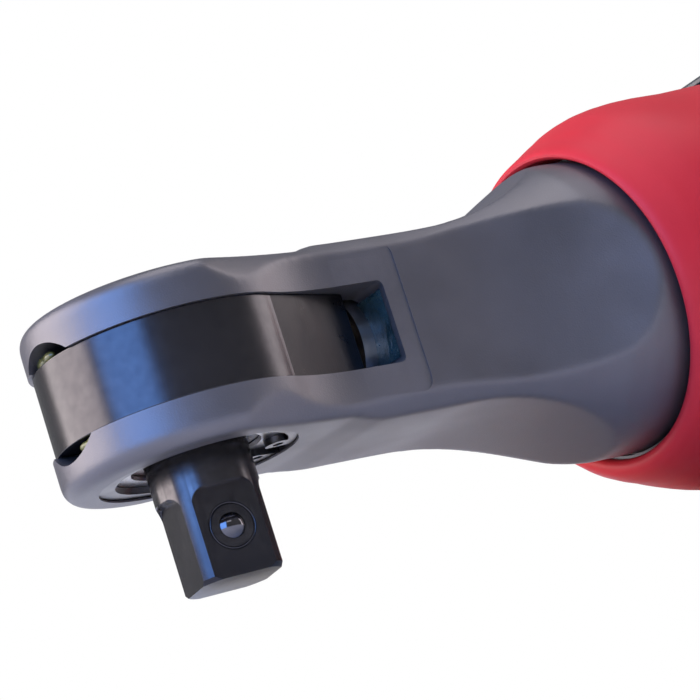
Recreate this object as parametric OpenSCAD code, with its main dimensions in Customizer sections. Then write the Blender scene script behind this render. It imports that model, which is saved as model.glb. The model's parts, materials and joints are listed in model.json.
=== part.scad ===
// Air ratchet with a 3/8 inch square drive.
// X runs from the drive axis to the air inlet, Z runs up from the tip of the drive square.

/* [Square drive] */
// Width across the flats of the drive square
square_af = 9.525; // [8:0.005:11.5]
// Height of the milled flats
square_len = 10.5; // [8:0.1:12]
// Radius of the shank that the square is milled from
shank_r = 6.05; // [5.8:0.05:7.4]
// Height of the tool axis above the tip of the square
drive_drop = 23.7; // [22:0.1:29]
// Turn of the square about its axis at rest
square_turn = -11.9; // [-45:0.1:45]
// Radius of the socket detent ball
ball_r = 1.9; // [1.4:0.05:2.1]
// How far the ball stands out of its flat
ball_out = 0.65; // [0.3:0.05:0.9]

/* [Ratchet head] */
// Radius of the two ears round the drive axis
ear_r = 15.5; // [14:0.1:20]
// Half the thickness of the head across both ears
ear_half_t = 10.03; // [9:0.01:12]
// Half the height of the yoke slot
slot_half_h = 4.97; // [4:0.01:6]
// Distance from the drive axis to the back wall of the slot
slot_back = 23.7; // [23.2:0.1:30]
// Half the width of the neck
neck_half_w = 11.4; // [10:0.1:13.5]
// Half the thickness of the neck
neck_half_t = 10.75; // [10.1:0.05:13]
// Distance from the drive axis to the flange of the head
neck_len = 63.5; // [58:0.5:80]
// Radius of the neck where it meets the collar
neck_end_r = 18.3; // [16:0.1:19]
// Radius of the long bore for the crankshaft
crank_bore_r = 6.9; // [6.6:0.05:8.3]
// Radius of the hole for the anvil in the lower ear
anvil_hole_r = 11.69; // [10.5:0.01:12]
// Radius of the hole for the anvil in the upper ear
journal_hole_r = 8.05; // [7.6:0.01:9]

/* [Yoke and pawl] */
// Radius of the outside of the yoke ring
yoke_r = 15.03; // [14:0.01:15.4]
// Thickness of the yoke ring behind its teeth
yoke_wall = 3.08; // [2.4:0.01:3.2]
// Number of teeth inside the yoke
yoke_teeth = 48; // [48]
// Depth of the yoke teeth
yoke_tooth = 0.8; // [0.5:0.05:0.95]
// Swing of the yoke each way
yoke_swing = 7.5; // [5:0.5:7.5]
// Distance from the drive axis to the crank pin
fork_reach = 18; // [17.6:0.1:19]
// Radius of the bushing on the crank pin
bushing_r = 3.6; // [3.2:0.05:4]
// Tilt of the pawl each way
pawl_tilt = 12; // [10:0.5:12]
// Radius of the pawl pin
pawl_pin_r = 1.25; // [1:0.05:1.5]

/* [Gears] */
// Module of the planetary gears
gear_module = 0.7; // [0.6:0.01:0.84]
// Teeth of the sun gear
sun_teeth = 12; // [12]
// Teeth of each planet gear
planet_teeth = 15; // [15]
// Face width of the gears
gear_len = 6; // [5:0.5:8]
// Wall of the ring gear behind its teeth
ring_wall = 1.925; // [1.5:0.005:3]
// Radius of the planet pins
planet_pin_r = 1.7; // [1.3:0.05:2]

/* [Motor] */
// Length of the rotor
rotor_len = 42; // [34:1:52]
// Thinnest wall of the cylinder liner
liner_wall = 1.9; // [1.5:0.1:2.4]
// How far the liner bore is off the rotor axis
liner_offset = 1.2; // [1:0.05:1.6]
// Number of vanes
vanes = 5; // [4:1:6]
// Thickness of a vane
vane_t = 1.6; // [1.2:0.1:2]
// Thickness of each end plate
plate_t = 6; // [5:0.5:8]

/* [Handle] */
// Wall of the motor housing
housing_wall = 2.65; // [2.2:0.05:3.4]
// Wall of the coupling nut
nut_wall = 1.9; // [1.5:0.1:2.4]
// Wall of the front collar
collar_wall = 2.8; // [2.2:0.1:3.4]
// Wall of the rubber grip
grip_wall = 2.1; // [1.8:0.1:3]
// Length of the valve block behind the motor
valve_block_len = 62.5; // [58:0.5:84]
// Length of the exhaust deflector
deflector_len = 12; // [10:0.5:16]
// Width across the flats of the inlet bushing
inlet_af = 22; // [20:0.5:25]
// Radius of the threaded air inlet
inlet_r = 5.6; // [5:0.05:6]

/* [Throttle] */
// Distance from the front edge of the lever to its pin
lever_nose = 5.5; // [5.5:0.5:16]
// Distance from the lever pin to the valve stem
lever_arm = 60; // [54:0.5:63]
// Length of the lever behind its pin
lever_len = 88; // [80:1:94]
// Width of the lever
lever_w = 13; // [11:0.5:14]
// Radius of the lever pin
lever_pin_r = 1.5; // [1.2:0.05:1.8]
// Radius of the valve stem
stem_r = 2; // [1.6:0.05:2.3]

/* [Hidden] */
$fn = 96;
eps = 0.01;
far = 300;

// Clearances
run = 0.05;        // radial clearance of a running fit
seat = 0.01;       // clearance of parts pressed or clamped together
face = 0.05;       // clearance between faces that slide past each other
open_gap = 0.15;   // gap round the crank bushing, where the linkage is left open
mesh_gap = 0.08;   // gap between the pawl and the yoke teeth
backlash = 0.06;   // clearance on each flank of the gears

// Ratchet head
ear_fillet = 25;
ear_round = 1.9;
ramp_front = 14;
ramp_back = 17.5;
flare_start = 32;
flare_side_r = 38;
flare_plan_start = 34;
flare_plan_r = 44;
bevel_r = 14.4;
bevel_front_x = 22;
bevel_back_x = 26.5;
bevel_front_r = 83;
bevel_back_r = 95;
slot_corner = 0.8;
flange_t = 3.5;
head_back = neck_len + 6;
journal_top = 8.25;
knob_well_r = journal_hole_r + 1.25;
clip_top = -8.9;
clip_t = 0.8;
clip_groove = 0.7;

// Yoke
yoke_half_h = slot_half_h - face;
tooth_root = yoke_r - yoke_wall;
tooth_tip = tooth_root - yoke_tooth;
crank_throw = fork_reach * tan(yoke_swing);
bushing_len = 4.6;
fork_tip_x = fork_reach + 2;
fork_tip_half = 8.1;
fork_root_angle = 61;
fork_slot_half = (bushing_r + crank_throw + open_gap)
  + (fork_reach + bushing_len / 2) * tan(yoke_swing) - crank_throw * cos(yoke_swing);
fork_floor_x = yoke_r - 0.35;

// Anvil
flange_r = anvil_hole_r - run;
flange_bottom = clip_top + 0.65;
core_r = tooth_tip - 0.75;
journal_r = journal_hole_r - run;
knob_stem_r = 3;
knob_pin_r = 0.75;
knob_pin_z = 6.8;
knob_groove = 0.8;
pawl_pivot = 5.9;
pawl_half_h = 4.4;
pawl_half_w = 8;
pawl_r = tooth_tip - 0.15;
pawl_back = 4.45;
plunger_r = 1;
plunger_tip = 4.3;
ball_x = square_af / 2 + ball_out - ball_r;
ball_floor = -square_af / 2 + 1.6;
ball_travel = ball_out + 0.1;
spring_wire = 0.45;

// Crankshaft
web_front = slot_back - 1.8;
web_t = 3.5;
pin_r = 2.3;
journal_front_r = 4;
journal_back_r = 6;
needle_front = slot_back + 4.5;
needle_len = 9;
needle_count = 14;
needle_shell = 1.25;
crank_bearing_x = neck_len - 9;
crank_bearing_len = 7;
crank_bearing_r = 11;
carrier_front = neck_len + 2.3;
carrier_t = 3.6;

// Gears
ring_teeth = sun_teeth + 2 * planet_teeth;
pressure_angle = 25;
sun_r = gear_module * sun_teeth / 2;
planet_r = gear_module * planet_teeth / 2;
ring_r = gear_module * ring_teeth / 2;
gear_orbit = sun_r + planet_r;
ring_gear_r = ring_r + 1.25 * gear_module + ring_wall;
carrier_r = gear_orbit + planet_pin_r + 2.3;
gear_front = head_back + 0.9;
gear_back = gear_front + gear_len;
plate_front = gear_back + 2.6;

// Motor
housing_bore_r = ring_gear_r + seat;
liner_front = plate_front + plate_t;
liner_back = liner_front + rotor_len + 2 * face;
liner_bore_r = ring_gear_r - liner_wall - liner_offset;
rotor_r = liner_bore_r - liner_offset - 2 * run;
vane_depth = 6;
rotor_shaft_r = 4;
rotor_bearing_r = 8.2;
rotor_bearing_len = 4.5;
plate_back = liner_back + plate_t;
spacer_back = plate_back + 5;

// Handle
housing_r = housing_bore_r + housing_wall;
nut_r = housing_r + nut_wall;
collar_r = nut_r + collar_wall;
grip_r = housing_r + grip_wall;
nut_front = neck_len - 1.7;
nut_back = neck_len + 12;
nut_chamfer = 6;
collar_front = neck_len - 5;
collar_back = neck_len + 32.5;
collar_tilt = 7.5;
collar_sides = 48;
collar_lip_r = neck_end_r + 0.5;
valve_block = spacer_back + 1;
housing_back = valve_block + valve_block_len;
grip_front = collar_back + 0.3;
grip_back = housing_back - 6;
grip_end_r = collar_r + 0.6;
grip_ribs = 9;
tip_z = -drive_drop;
rest_z = -collar_r;

// Throttle
lever_pin_x = neck_len + 26.5;
lever_pin_z = housing_r + 3;
lever_half_w = lever_w / 2;
lever_top = collar_r + 0.35;
lever_under = lever_top + 0.5;
lever_sheet = 2.2;
lug_t = 3;
lug_gap = 0.3;
stem_x = lever_pin_x + lever_arm;
stem_top = lever_under - 0.12;
stem_bore_r = stem_r + 2.6;
poppet_top = -3.6;
poppet_t = 2.2;
poppet_r = stem_bore_r - 0.7;
valve_floor = -16;

// Inlet
inlet_thread_r = 10.4;
inlet_thread_len = 18;
inlet_collar_r = 12.2;
inlet_back = housing_back + deflector_len + 14;
screen_r = 4.6;
screen_len = 9;

// A round bar along X
module rod(r, x0, x1) {
  translate([x0, 0, 0]) rotate([0, 90, 0]) cylinder(r = r, h = x1 - x0);
}

// A tube along X
module pipe(outer, inner, x0, x1) {
  difference() {
    rod(outer, x0, x1);
    rod(inner, x0 - 1, x1 + 1);
  }
}

// A solid turned about X from a profile of [radius, x]
module turned() {
  rotate([0, 90, 0]) rotate_extrude() children();
}

// A solid that is a profile in X and Z, spread over a width along Y
module across(half_w) {
  translate([0, half_w, 0]) rotate([90, 0, 0]) linear_extrude(2 * half_w) children();
}

// Copies at even angles about X
module around_x(count, radius, start = 90) {
  for (i = [0 : count - 1])
    rotate([start + i * 360 / count, 0, 0]) translate([0, radius, 0]) children();
}

// A helical spring drawn as a tube of its own outside size
module coil_sleeve(r, wire, length) {
  difference() {
    cylinder(r = r, h = length);
    translate([0, 0, -1]) cylinder(r = r - wire, h = length + 2);
  }
}

// Involute gears: the angle that an involute has turned through at radius r
function involute_angle(base_r, r) =
  let (a = acos(min(1, base_r / max(r, base_r)))) tan(a) * 180 / PI - a;
function flank(pitch_r, r, half) =
  let (base_r = pitch_r * cos(pressure_angle))
  half + involute_angle(base_r, pitch_r) - involute_angle(base_r, r);
function gear_points(teeth, pitch_r, low, high, half, steps = 4) = [
  for (i = [0 : teeth - 1], s = [0 : 2 * steps + 1])
    let (
      up = s <= steps,
      k = up ? s : 2 * steps + 1 - s,
      r = low + (high - low) * k / steps,
      a = i * 360 / teeth + (up ? -1 : 1) * flank(pitch_r, r, half)
    ) [r * cos(a), r * sin(a)]
];

// An external gear, with a tooth on its own X axis
module gear_2d(teeth) {
  pitch_r = gear_module * teeth / 2;
  half = 90 / teeth - backlash / pitch_r * 180 / PI;
  low = pitch_r - 1.15 * gear_module;
  high = pitch_r + 0.9 * gear_module;
  polygon(gear_points(teeth, pitch_r, low, high, half));
}

// The hollow of the ring gear, with a space on its own X axis
module ring_hollow_2d() {
  half = 90 / ring_teeth + backlash / ring_r * 180 / PI;
  low = ring_r - 0.9 * gear_module;
  high = ring_r + 1.15 * gear_module;
  polygon(gear_points(ring_teeth, ring_r, low, high, half));
}

// The hollow of the yoke ring, with its fine teeth
module yoke_hollow_2d(gap = 0) {
  polygon([
    for (i = [0 : 2 * yoke_teeth - 1])
      let (r = (i % 2 == 0 ? tooth_tip : tooth_root) - gap, a = i * 180 / yoke_teeth)
      [r * cos(a), r * sin(a)]
  ]);
}

// Material in the corner between a circle and a straight side, cut to a concave arc
module corner_web_2d(r, half_w, fillet) {
  x = sqrt(pow(r + fillet, 2) - pow(half_w + fillet, 2));
  y = half_w + fillet;
  t = r / (r + fillet);
  for (side = [-1, 1])
    difference() {
      polygon([[0, 0], [t * x, side * t * y], [x, side * half_w]]);
      translate([x, side * y]) circle(r = fillet);
    }
}

// A bar that widens along an arc from one point on
module flared_2d(half, from, arc_r, to, limit) {
  translate([0, -half]) square([from, 2 * half]);
  difference() {
    translate([from - eps, -limit]) square([to - from + eps, 2 * limit]);
    for (side = [-1, 1]) {
      translate([from, side * (half + arc_r)]) circle(r = arc_r, $fn = 180);
      translate([from - 1, side > 0 ? half : -half - limit]) square([1, limit]);
    }
  }
}

// Outline of the head from above
module head_plan_2d() {
  circle(r = ear_r);
  corner_web_2d(ear_r, neck_half_w, ear_fillet);
  flared_2d(neck_half_w, flare_plan_start, flare_plan_r, neck_len, neck_end_r + 1);
}

// Outline of the head from the side
module head_side_2d() {
  polygon([
    [-ear_r - 1, -ear_half_t], [ramp_front, -ear_half_t], [ramp_back, -neck_half_t],
    [ramp_back + 1, -neck_half_t], [ramp_back + 1, neck_half_t], [ramp_back, neck_half_t],
    [ramp_front, ear_half_t], [-ear_r - 1, ear_half_t]
  ]);
  translate([ramp_back, 0]) flared_2d(
    neck_half_t, flare_start - ramp_back, flare_side_r, neck_len - ramp_back, neck_end_r + 1
  );
}

// The long edges of the head are turned about the tool axis
module head_bevel() {
  turned() difference() {
    union() {
      translate([0, -ear_r - 1]) square([neck_end_r, neck_len + ear_r + 1]);
      translate([0, -ear_r - 1]) square([ear_r + ear_half_t, ear_r + 1]);
    }
    translate([bevel_r + bevel_back_r, bevel_back_x]) intersection() {
      circle(r = bevel_back_r, $fn = 180);
      translate([-bevel_back_r, 0]) square(bevel_back_r);
    }
    translate([bevel_r, bevel_front_x - eps]) square([far, bevel_back_x - bevel_front_x + 2 * eps]);
    translate([bevel_r + bevel_front_r, bevel_front_x]) intersection() {
      circle(r = bevel_front_r, $fn = 180);
      translate([-bevel_front_r, -bevel_front_r]) square(bevel_front_r);
    }
  }
}

// The rounded nose of the two ears
module head_nose() {
  rotate_extrude() {
    translate([0, -ear_half_t]) square([ear_r - ear_round, 2 * ear_half_t]);
    translate([0, -ear_half_t + ear_round]) square([ear_r, 2 * (ear_half_t - ear_round)]);
    for (side = [-1, 1])
      translate([ear_r - ear_round, side * (ear_half_t - ear_round)]) circle(r = ear_round);
  }
  translate([0, -far / 2, -far / 2]) cube([far, far, far]);
}

module slot_2d() {
  translate([-far, -slot_half_h]) square([far + slot_back - slot_corner, 2 * slot_half_h]);
  translate([0, -slot_half_h + slot_corner]) square([slot_back, 2 * (slot_half_h - slot_corner)]);
  for (side = [-1, 1])
    translate([slot_back - slot_corner, side * (slot_half_h - slot_corner)])
      circle(r = slot_corner, $fn = 32);
}

module ratchet_head() {
  color("#4b4a52") difference() {
    union() {
      intersection() {
        translate([0, 0, -far / 2]) linear_extrude(far) head_plan_2d();
        across(ear_r + 1) head_side_2d();
        head_bevel();
        head_nose();
      }
      rod(housing_r - 0.2, neck_len, neck_len + flange_t);
      rod(housing_bore_r - seat, neck_len, head_back);
    }
    across(far) slot_2d();
    rod(crank_bore_r, -far, crank_bearing_x + 1);
    rod(crank_bearing_r, crank_bearing_x, neck_len + 2);
    rod(carrier_r + 0.6, neck_len + 1.9, far);
    translate([0, 0, -ear_half_t - 1]) cylinder(r = anvil_hole_r, h = ear_half_t + 1);
    translate([0, 0, clip_top - clip_t - 0.1])
      cylinder(r = anvil_hole_r + clip_groove, h = clip_t + 0.2);
    cylinder(r = journal_hole_r, h = journal_top + 1);
    translate([0, 0, journal_top]) cylinder(r = knob_well_r, h = 10);
  }
}

module yoke() {
  root = [yoke_r * cos(fork_root_angle), yoke_r * sin(fork_root_angle)];
  color("#2c2b33") translate([0, 0, -yoke_half_h]) linear_extrude(2 * yoke_half_h) difference() {
    union() {
      circle(r = yoke_r);
      polygon([
        [0, -yoke_r / 2], [root.x, -root.y], [fork_tip_x, -fork_tip_half],
        [fork_tip_x, fork_tip_half], [root.x, root.y], [0, yoke_r / 2]
      ]);
    }
    yoke_hollow_2d();
    translate([fork_floor_x, -fork_slot_half]) square([far, 2 * fork_slot_half]);
  }
}

// One flat of the square, milled into the shank with rounded upper corners
module flat_cutter() {
  corner = 1.6;
  half = sqrt(pow(shank_r, 2) - pow(square_af / 2, 2)) + 0.02;
  translate([square_af / 2, 0, tip_z]) rotate([90, 0, 90]) linear_extrude(shank_r) {
    translate([-half, -1]) square([2 * half, square_len + 1 - corner]);
    translate([-half + corner, -1]) square([2 * (half - corner), square_len + 1]);
    for (side = [-1, 1])
      translate([side * (half - corner), square_len - corner]) circle(r = corner, $fn = 48);
  }
}

module at_detent() {
  rotate([0, 0, square_turn - 90]) translate([0, 0, tip_z + square_len * 0.53]) rotate([0, 90, 0])
    children();
}

module drive_square() {
  chamfer = 0.5;
  difference() {
    rotate_extrude() polygon([
      [0, tip_z], [shank_r - chamfer, tip_z], [shank_r, tip_z + chamfer],
      [shank_r, flange_bottom + 1], [0, flange_bottom + 1]
    ]);
    rotate([0, 0, square_turn]) for (i = [0 : 3]) rotate([0, 0, 90 * i]) flat_cutter();
    at_detent() {
      translate([0, 0, ball_floor]) cylinder(r = ball_r + run, h = ball_x - ball_floor);
      translate([0, 0, ball_x]) sphere(r = ball_r + run);
      translate([0, 0, square_af / 2]) rotate_extrude()
        translate([ball_r + 0.7, 0]) circle(r = 0.18, $fn = 24);
    }
  }
}

module anvil() {
  color("#2a2930") difference() {
    union() {
      drive_square();
      translate([0, 0, flange_bottom]) cylinder(r = flange_r, h = -slot_half_h - flange_bottom);
      translate([0, 0, -slot_half_h - eps]) cylinder(r = core_r, h = 2 * slot_half_h - face);
      cylinder(r = journal_r, h = journal_top - 0.1);
    }
    translate([0, 0, -pawl_half_h - 0.2]) linear_extrude(slot_half_h + pawl_half_h + 0.2 - face)
      pawl_pocket_2d();
    translate([0, 0, -3.5]) cylinder(r = knob_stem_r + run, h = far);
    translate([0, pawl_pivot, -6.6]) cylinder(r = pawl_pin_r, h = 13.2);
    translate([-far / 2, -knob_stem_r, knob_pin_z]) rotate([0, 90, 0]) cylinder(r = knob_pin_r, h = far);
  }
}

module pawl_pocket_2d() {
  half = pawl_half_w + 0.6;
  polygon([[-4, 3.4], [4, 3.4], [half, 4.2], [half, far], [-half, far], [-half, 4.2]]);
  translate([-3.2, 0]) square([6.4, 3.6]);
}

module detent_ball() {
  color("#9a9aa2") at_detent() translate([0, 0, ball_x]) sphere(r = ball_r);
}

// Drawn pressed, at the length that it has with the ball all the way in
module detent_spring() {
  back = ball_floor + seat;
  outer = ball_r - 0.35;
  contact = sqrt(pow(ball_r, 2) - pow(outer - spring_wire, 2));
  color("silver") at_detent() translate([0, 0, back])
    coil_sleeve(outer, spring_wire, ball_x - contact - ball_travel - back - 0.03);
}

module reverse_knob() {
  disc_r = knob_well_r - 0.3;
  color("#232228") difference() {
    union() {
      translate([0, 0, journal_top + 0.15]) cylinder(r1 = disc_r, r2 = disc_r, h = 2.1);
      translate([0, 0, journal_top + 2.2]) cylinder(r1 = disc_r, r2 = disc_r - 0.9, h = 0.7);
      intersection() {
        translate([-disc_r + 1, -1.5, journal_top]) cube([2 * disc_r - 2, 3, 4.2]);
        translate([0, 0, journal_top - 15.8]) sphere(r = 20);
      }
      translate([0, 0, -3.2]) cylinder(r = knob_stem_r, h = journal_top + 3.5);
    }
    translate([0, 0, knob_pin_z - knob_pin_r - 0.1]) difference() {
      cylinder(r = knob_stem_r + 1, h = 2 * knob_pin_r + 0.2);
      translate([0, 0, -1]) cylinder(r = knob_stem_r - knob_groove, h = 2 * knob_pin_r + 3);
    }
    translate([0, -1.9, 0]) rotate([-90, 0, 0]) cylinder(r = plunger_r + 0.03, h = far);
    for (a = [0 : 15 : 345])
      rotate([0, 0, a]) translate([disc_r + 0.35, 0, journal_top - 1]) cylinder(r = 0.7, h = far, $fn = 24);
  }
}

module knob_pin() {
  half = sqrt(pow(journal_r, 2) - pow(knob_stem_r + knob_pin_r, 2)) - 0.1;
  color("silver") translate([-half, -knob_stem_r, knob_pin_z]) rotate([0, 90, 0])
    cylinder(r = knob_pin_r - seat, h = 2 * half);
}

module turned_about_pivot(angle) {
  translate([0, pawl_pivot]) rotate(angle) translate([0, -pawl_pivot]) children();
}

module pawl() {
  tip_y = sqrt(pow(pawl_r, 2) - pow(pawl_half_w, 2));
  drop = 2;
  color("#3a3940") translate([0, 0, -pawl_half_h]) linear_extrude(2 * pawl_half_h) difference() {
    intersection() {
      polygon([
        [-3, pawl_back], [3, pawl_back], [pawl_half_w, pawl_back + 2],
        [pawl_half_w, far], [-pawl_half_w, far], [-pawl_half_w, pawl_back + 2]
      ]);
      circle(r = pawl_r);
      translate([0, -drop]) circle(r = norm([pawl_half_w, tip_y + drop]));
      intersection_for (step = [-6 : 6])
        turned_about_pivot(step / 6 * pawl_tilt) yoke_hollow_2d(mesh_gap);
    }
    translate([0, pawl_pivot]) circle(r = pawl_pin_r + run, $fn = 48);
  }
}

module pawl_pin() {
  color("silver") translate([0, pawl_pivot, -6.5]) cylinder(r = pawl_pin_r - seat, h = 13);
}

module pawl_plunger() {
  color("silver") rotate([-90, 0, 0]) {
    translate([0, 0, 0.6]) cylinder(r = plunger_r, h = plunger_tip - plunger_r - 0.6);
    translate([0, 0, plunger_tip - plunger_r]) sphere(r = plunger_r);
  }
}

module pawl_spring() {
  color("silver") translate([0, -1.85, 0]) rotate([-90, 0, 0]) coil_sleeve(0.8, 0.3, 2.4);
}

module thrust_washer() {
  color("#b9b4ad") translate([0, 0, clip_top + 0.05]) difference() {
    cylinder(r = anvil_hole_r - 0.15, h = 0.5);
    translate([0, 0, -1]) cylinder(r = shank_r + 1.6, h = 3);
  }
}

module retaining_ring() {
  lug_r = 1.5;
  outer = anvil_hole_r + clip_groove - 0.15;
  color("#8a8890") translate([0, 0, clip_top - clip_t]) linear_extrude(clip_t) difference() {
    union() {
      difference() {
        circle(r = outer);
        translate([0.5, 0]) circle(r = outer - 2.1);
      }
      for (side = [-1, 1])
        rotate(side * 15) translate([outer - 2.6, 0]) circle(r = lug_r, $fn = 48);
    }
    polygon([[0, 0], [far, -far * tan(9)], [far, far * tan(9)]]);
    for (side = [-1, 1])
      rotate(side * 15) translate([outer - 2.6, 0]) circle(r = 0.65, $fn = 32);
  }
}

module crankshaft() {
  color("#77767c") difference() {
    union() {
      translate([0, 0, crank_throw]) rod(pin_r, fork_reach - bushing_len / 2 - 0.3, web_front + 1);
      rod(crank_bore_r - 0.3, web_front, web_front + web_t);
      rod(journal_front_r, web_front, crank_bearing_x);
      rod(crank_bore_r - 0.3, crank_bearing_x - 1.5, crank_bearing_x);
      rod(journal_back_r, crank_bearing_x - 1.5, carrier_front + 1);
      rod(carrier_r, carrier_front, carrier_front + carrier_t);
    }
    // relief on the pin's side of the web, which balances the pin
    translate([web_front - 1, -far / 2, crank_throw + pin_r + 0.8]) cube([web_t + 2, far, far]);
    rod(sun_r + gear_module + 0.5, carrier_front + 1.6, far);
    around_x(3, gear_orbit) rod(planet_pin_r, carrier_front + 0.6, far);
  }
}

module drive_bushing() {
  crown = 0.5;
  x0 = fork_reach - bushing_len / 2;
  x1 = fork_reach + bushing_len / 2;
  color("#b08d57") translate([0, 0, crank_throw]) turned() polygon([
    [pin_r + run, x0], [bushing_r - crown, x0], [bushing_r, x0 + crown],
    [bushing_r, x1 - crown], [bushing_r - crown, x1], [pin_r + run, x1]
  ]);
}

module needle_bearing() {
  shell_r = crank_bore_r - seat;
  needle_r = (shell_r - needle_shell - journal_front_r) / 2 - run / 2;
  color("silver") {
    difference() {
      rod(shell_r, needle_front, needle_front + needle_len);
      rod(shell_r - needle_shell, needle_front + 0.8, needle_front + needle_len - 0.8);
      rod(journal_front_r + 0.2, needle_front - 1, needle_front + needle_len + 1);
    }
    around_x(needle_count, journal_front_r + run / 2 + needle_r)
      rod(needle_r - 0.01, needle_front + 0.9, needle_front + needle_len - 0.9);
  }
}

// Profile of a bearing ring with a groove for its balls, as [radius, x]
module bearing_ring_2d(inner, outer, x0, length, groove_r, groove) {
  difference() {
    translate([inner, x0]) square([outer - inner, length]);
    translate([groove_r, x0 + length / 2]) circle(r = groove, $fn = 48);
  }
}

module ball_bearing_outer(inner, outer, x0, length, balls) {
  mid = (inner + outer) / 2;
  ball = (outer - inner) * 0.28;
  turned() bearing_ring_2d(mid + ball * 0.45, outer, x0, length, mid, ball + 0.04);
  around_x(balls, mid) translate([x0 + length / 2, 0, 0]) sphere(r = ball);
}

module ball_bearing_inner(inner, outer, x0, length) {
  mid = (inner + outer) / 2;
  ball = (outer - inner) * 0.28;
  turned() bearing_ring_2d(inner, mid - ball * 0.45, x0, length, mid, ball + 0.06);
}

module crank_bearing() {
  color("silver")
    ball_bearing_outer(journal_back_r, crank_bearing_r - seat, crank_bearing_x, crank_bearing_len, 9);
}

module crank_bearing_inner() {
  color("silver") ball_bearing_inner(
    journal_back_r + seat, crank_bearing_r - seat, crank_bearing_x + seat, crank_bearing_len
  );
}

module planet_pins() {
  color("silver") around_x(3, gear_orbit)
    rod(planet_pin_r - seat, carrier_front + 0.6 + seat, gear_back + 0.6);
}

module planet_gear(index) {
  color("#8c8b92") rotate([90 + 120 * index, 0, 0]) translate([gear_front, gear_orbit, 0])
    rotate([90, 0, 90]) linear_extrude(gear_len) difference() {
      gear_2d(planet_teeth);
      circle(r = planet_pin_r + run, $fn = 64);
    }
}

module planet_gear_1() { planet_gear(0); }
module planet_gear_2() { planet_gear(1); }
module planet_gear_3() { planet_gear(2); }

module ring_gear() {
  color("#6d6c72") rotate([90, 0, 0]) translate([head_back + seat, 0, 0]) rotate([90, 0, 90])
    linear_extrude(plate_front - head_back - 2 * seat) difference() {
      circle(r = ring_gear_r);
      ring_hollow_2d();
    }
}

module coupling_nut() {
  color("#a7a6ab") difference() {
    turned() polygon([
      [0, nut_front], [nut_r - 1.7, nut_front], [nut_r, nut_front + nut_chamfer],
      [nut_r, nut_back], [0, nut_back]
    ]);
    rod(neck_end_r + 0.15, nut_front - 1, nut_back);
    rod(housing_r + seat, neck_len, nut_back + 1);
    around_x(6, nut_r + 0.4) rod(1.3, nut_front - 1, nut_front + 9);
  }
}

// A closed shell round X from rings of [x, radius, lean], where lean moves the lower edge back
module leaning_shell(rings) {
  n = collar_sides;
  last = len(rings);
  points = [
    for (ring = rings, j = [0 : n - 1])
      let (y = ring[1] * cos(360 * j / n), z = ring[1] * sin(360 * j / n))
      [ring[0] - z * tan(ring[2]), y, z]
  ];
  faces = [
    for (i = [0 : last - 1], j = [0 : n - 1], half = [0, 1])
      let (
        a = i * n + j,
        b = i * n + (j + 1) % n,
        c = ((i + 1) % last) * n + j,
        d = ((i + 1) % last) * n + (j + 1) % n
      ) half == 0 ? [a, c, b] : [b, c, d]
  ];
  polyhedron(points = points, faces = faces);
}

module front_collar() {
  pocket = lever_half_w + lug_t + 1;
  bore = 1 / cos(180 / collar_sides);
  seat_r = (housing_r + seat) * bore;
  nut_small = (nut_r - 1.6) * bore;
  nut_large = (nut_r + 0.1) * bore;
  color("#cd3246") difference() {
    leaning_shell([
      [collar_front, collar_lip_r + 1, collar_tilt - 1.2],
      [collar_front + 1.1, collar_lip_r + 1.8, collar_tilt - 3.3],
      [collar_front + 2.6, collar_lip_r + 2.8, collar_tilt - 3.5],
      [collar_front + 5.6, collar_r - 2.2, collar_tilt - 1.9],
      [collar_front + 7.7, collar_r - 1.3, collar_tilt - 0.8],
      [collar_front + 10.9, collar_r - 0.5, collar_tilt - 0.9],
      [collar_front + 15, collar_r, collar_tilt - 2.9],
      [collar_back - 7, collar_r, 0],
      [collar_back, grip_r + 0.8, 0],
      [collar_back, seat_r, 0],
      [nut_back + 0.1, seat_r, 0],
      [nut_back + 0.1, nut_large, 0],
      [nut_front + nut_chamfer - 0.1, nut_large, 0],
      [nut_front - 0.1, nut_small, 0],
      [nut_front - 0.1, collar_lip_r, 0],
      [collar_front, collar_lip_r, collar_tilt]
    ]);
    // pocket for the lever and its lugs
    translate([lever_pin_x - lug_t - 4, -pocket, housing_r - 2]) cube([far, 2 * pocket, far]);
  }
}

// The two lugs that hold the lever pin
module lever_lugs() {
  for (side = [-1, 1])
    translate([0, side * (lever_half_w + lug_gap + lug_t / 2), 0]) across(lug_t / 2) {
      translate([lever_pin_x, lever_pin_z]) circle(r = 4, $fn = 64);
      translate([lever_pin_x - 4, 0]) square([8, lever_pin_z]);
    }
}

module motor_housing() {
  color("#8d8f96") difference() {
    union() {
      rod(housing_r, neck_len + flange_t + 0.1, housing_back);
      intersection() {
        lever_lugs();
        translate([0, -far / 2, housing_r - 4]) cube(far);
      }
    }
    rod(housing_bore_r, 0, spacer_back);
    // air passages between the valve, the motor and the inlet
    rod(9, spacer_back - 1, valve_block);
    translate([0, 0, 4]) rod(3.2, valve_block - 2, stem_x);
    translate([0, 0, -8]) rod(3.6, stem_x, housing_back - 20);
    around_x(6, housing_r - 4.6, 0) rod(1.8, spacer_back - 1, far);
    rod(inlet_thread_r + seat, housing_back - inlet_thread_len - 4, far);
    rod(inlet_r + 2, housing_back - inlet_thread_len - 6, far);
    // valve bore and lever pin
    translate([stem_x, 0, valve_floor]) cylinder(r = stem_bore_r, h = far);
    at_lever_pin(lever_pin_r, far);
  }
}

module end_plate(x0, bearing_x) {
  difference() {
    rod(ring_gear_r, x0, x0 + plate_t);
    rod(rotor_bearing_r, bearing_x, bearing_x + rotor_bearing_len + 0.1);
    rod(rotor_shaft_r + 1, x0 - 1, x0 + plate_t + 1);
  }
}

module front_end_plate() {
  color("#9c9ba1") end_plate(plate_front, plate_front - 0.1);
}

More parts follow.
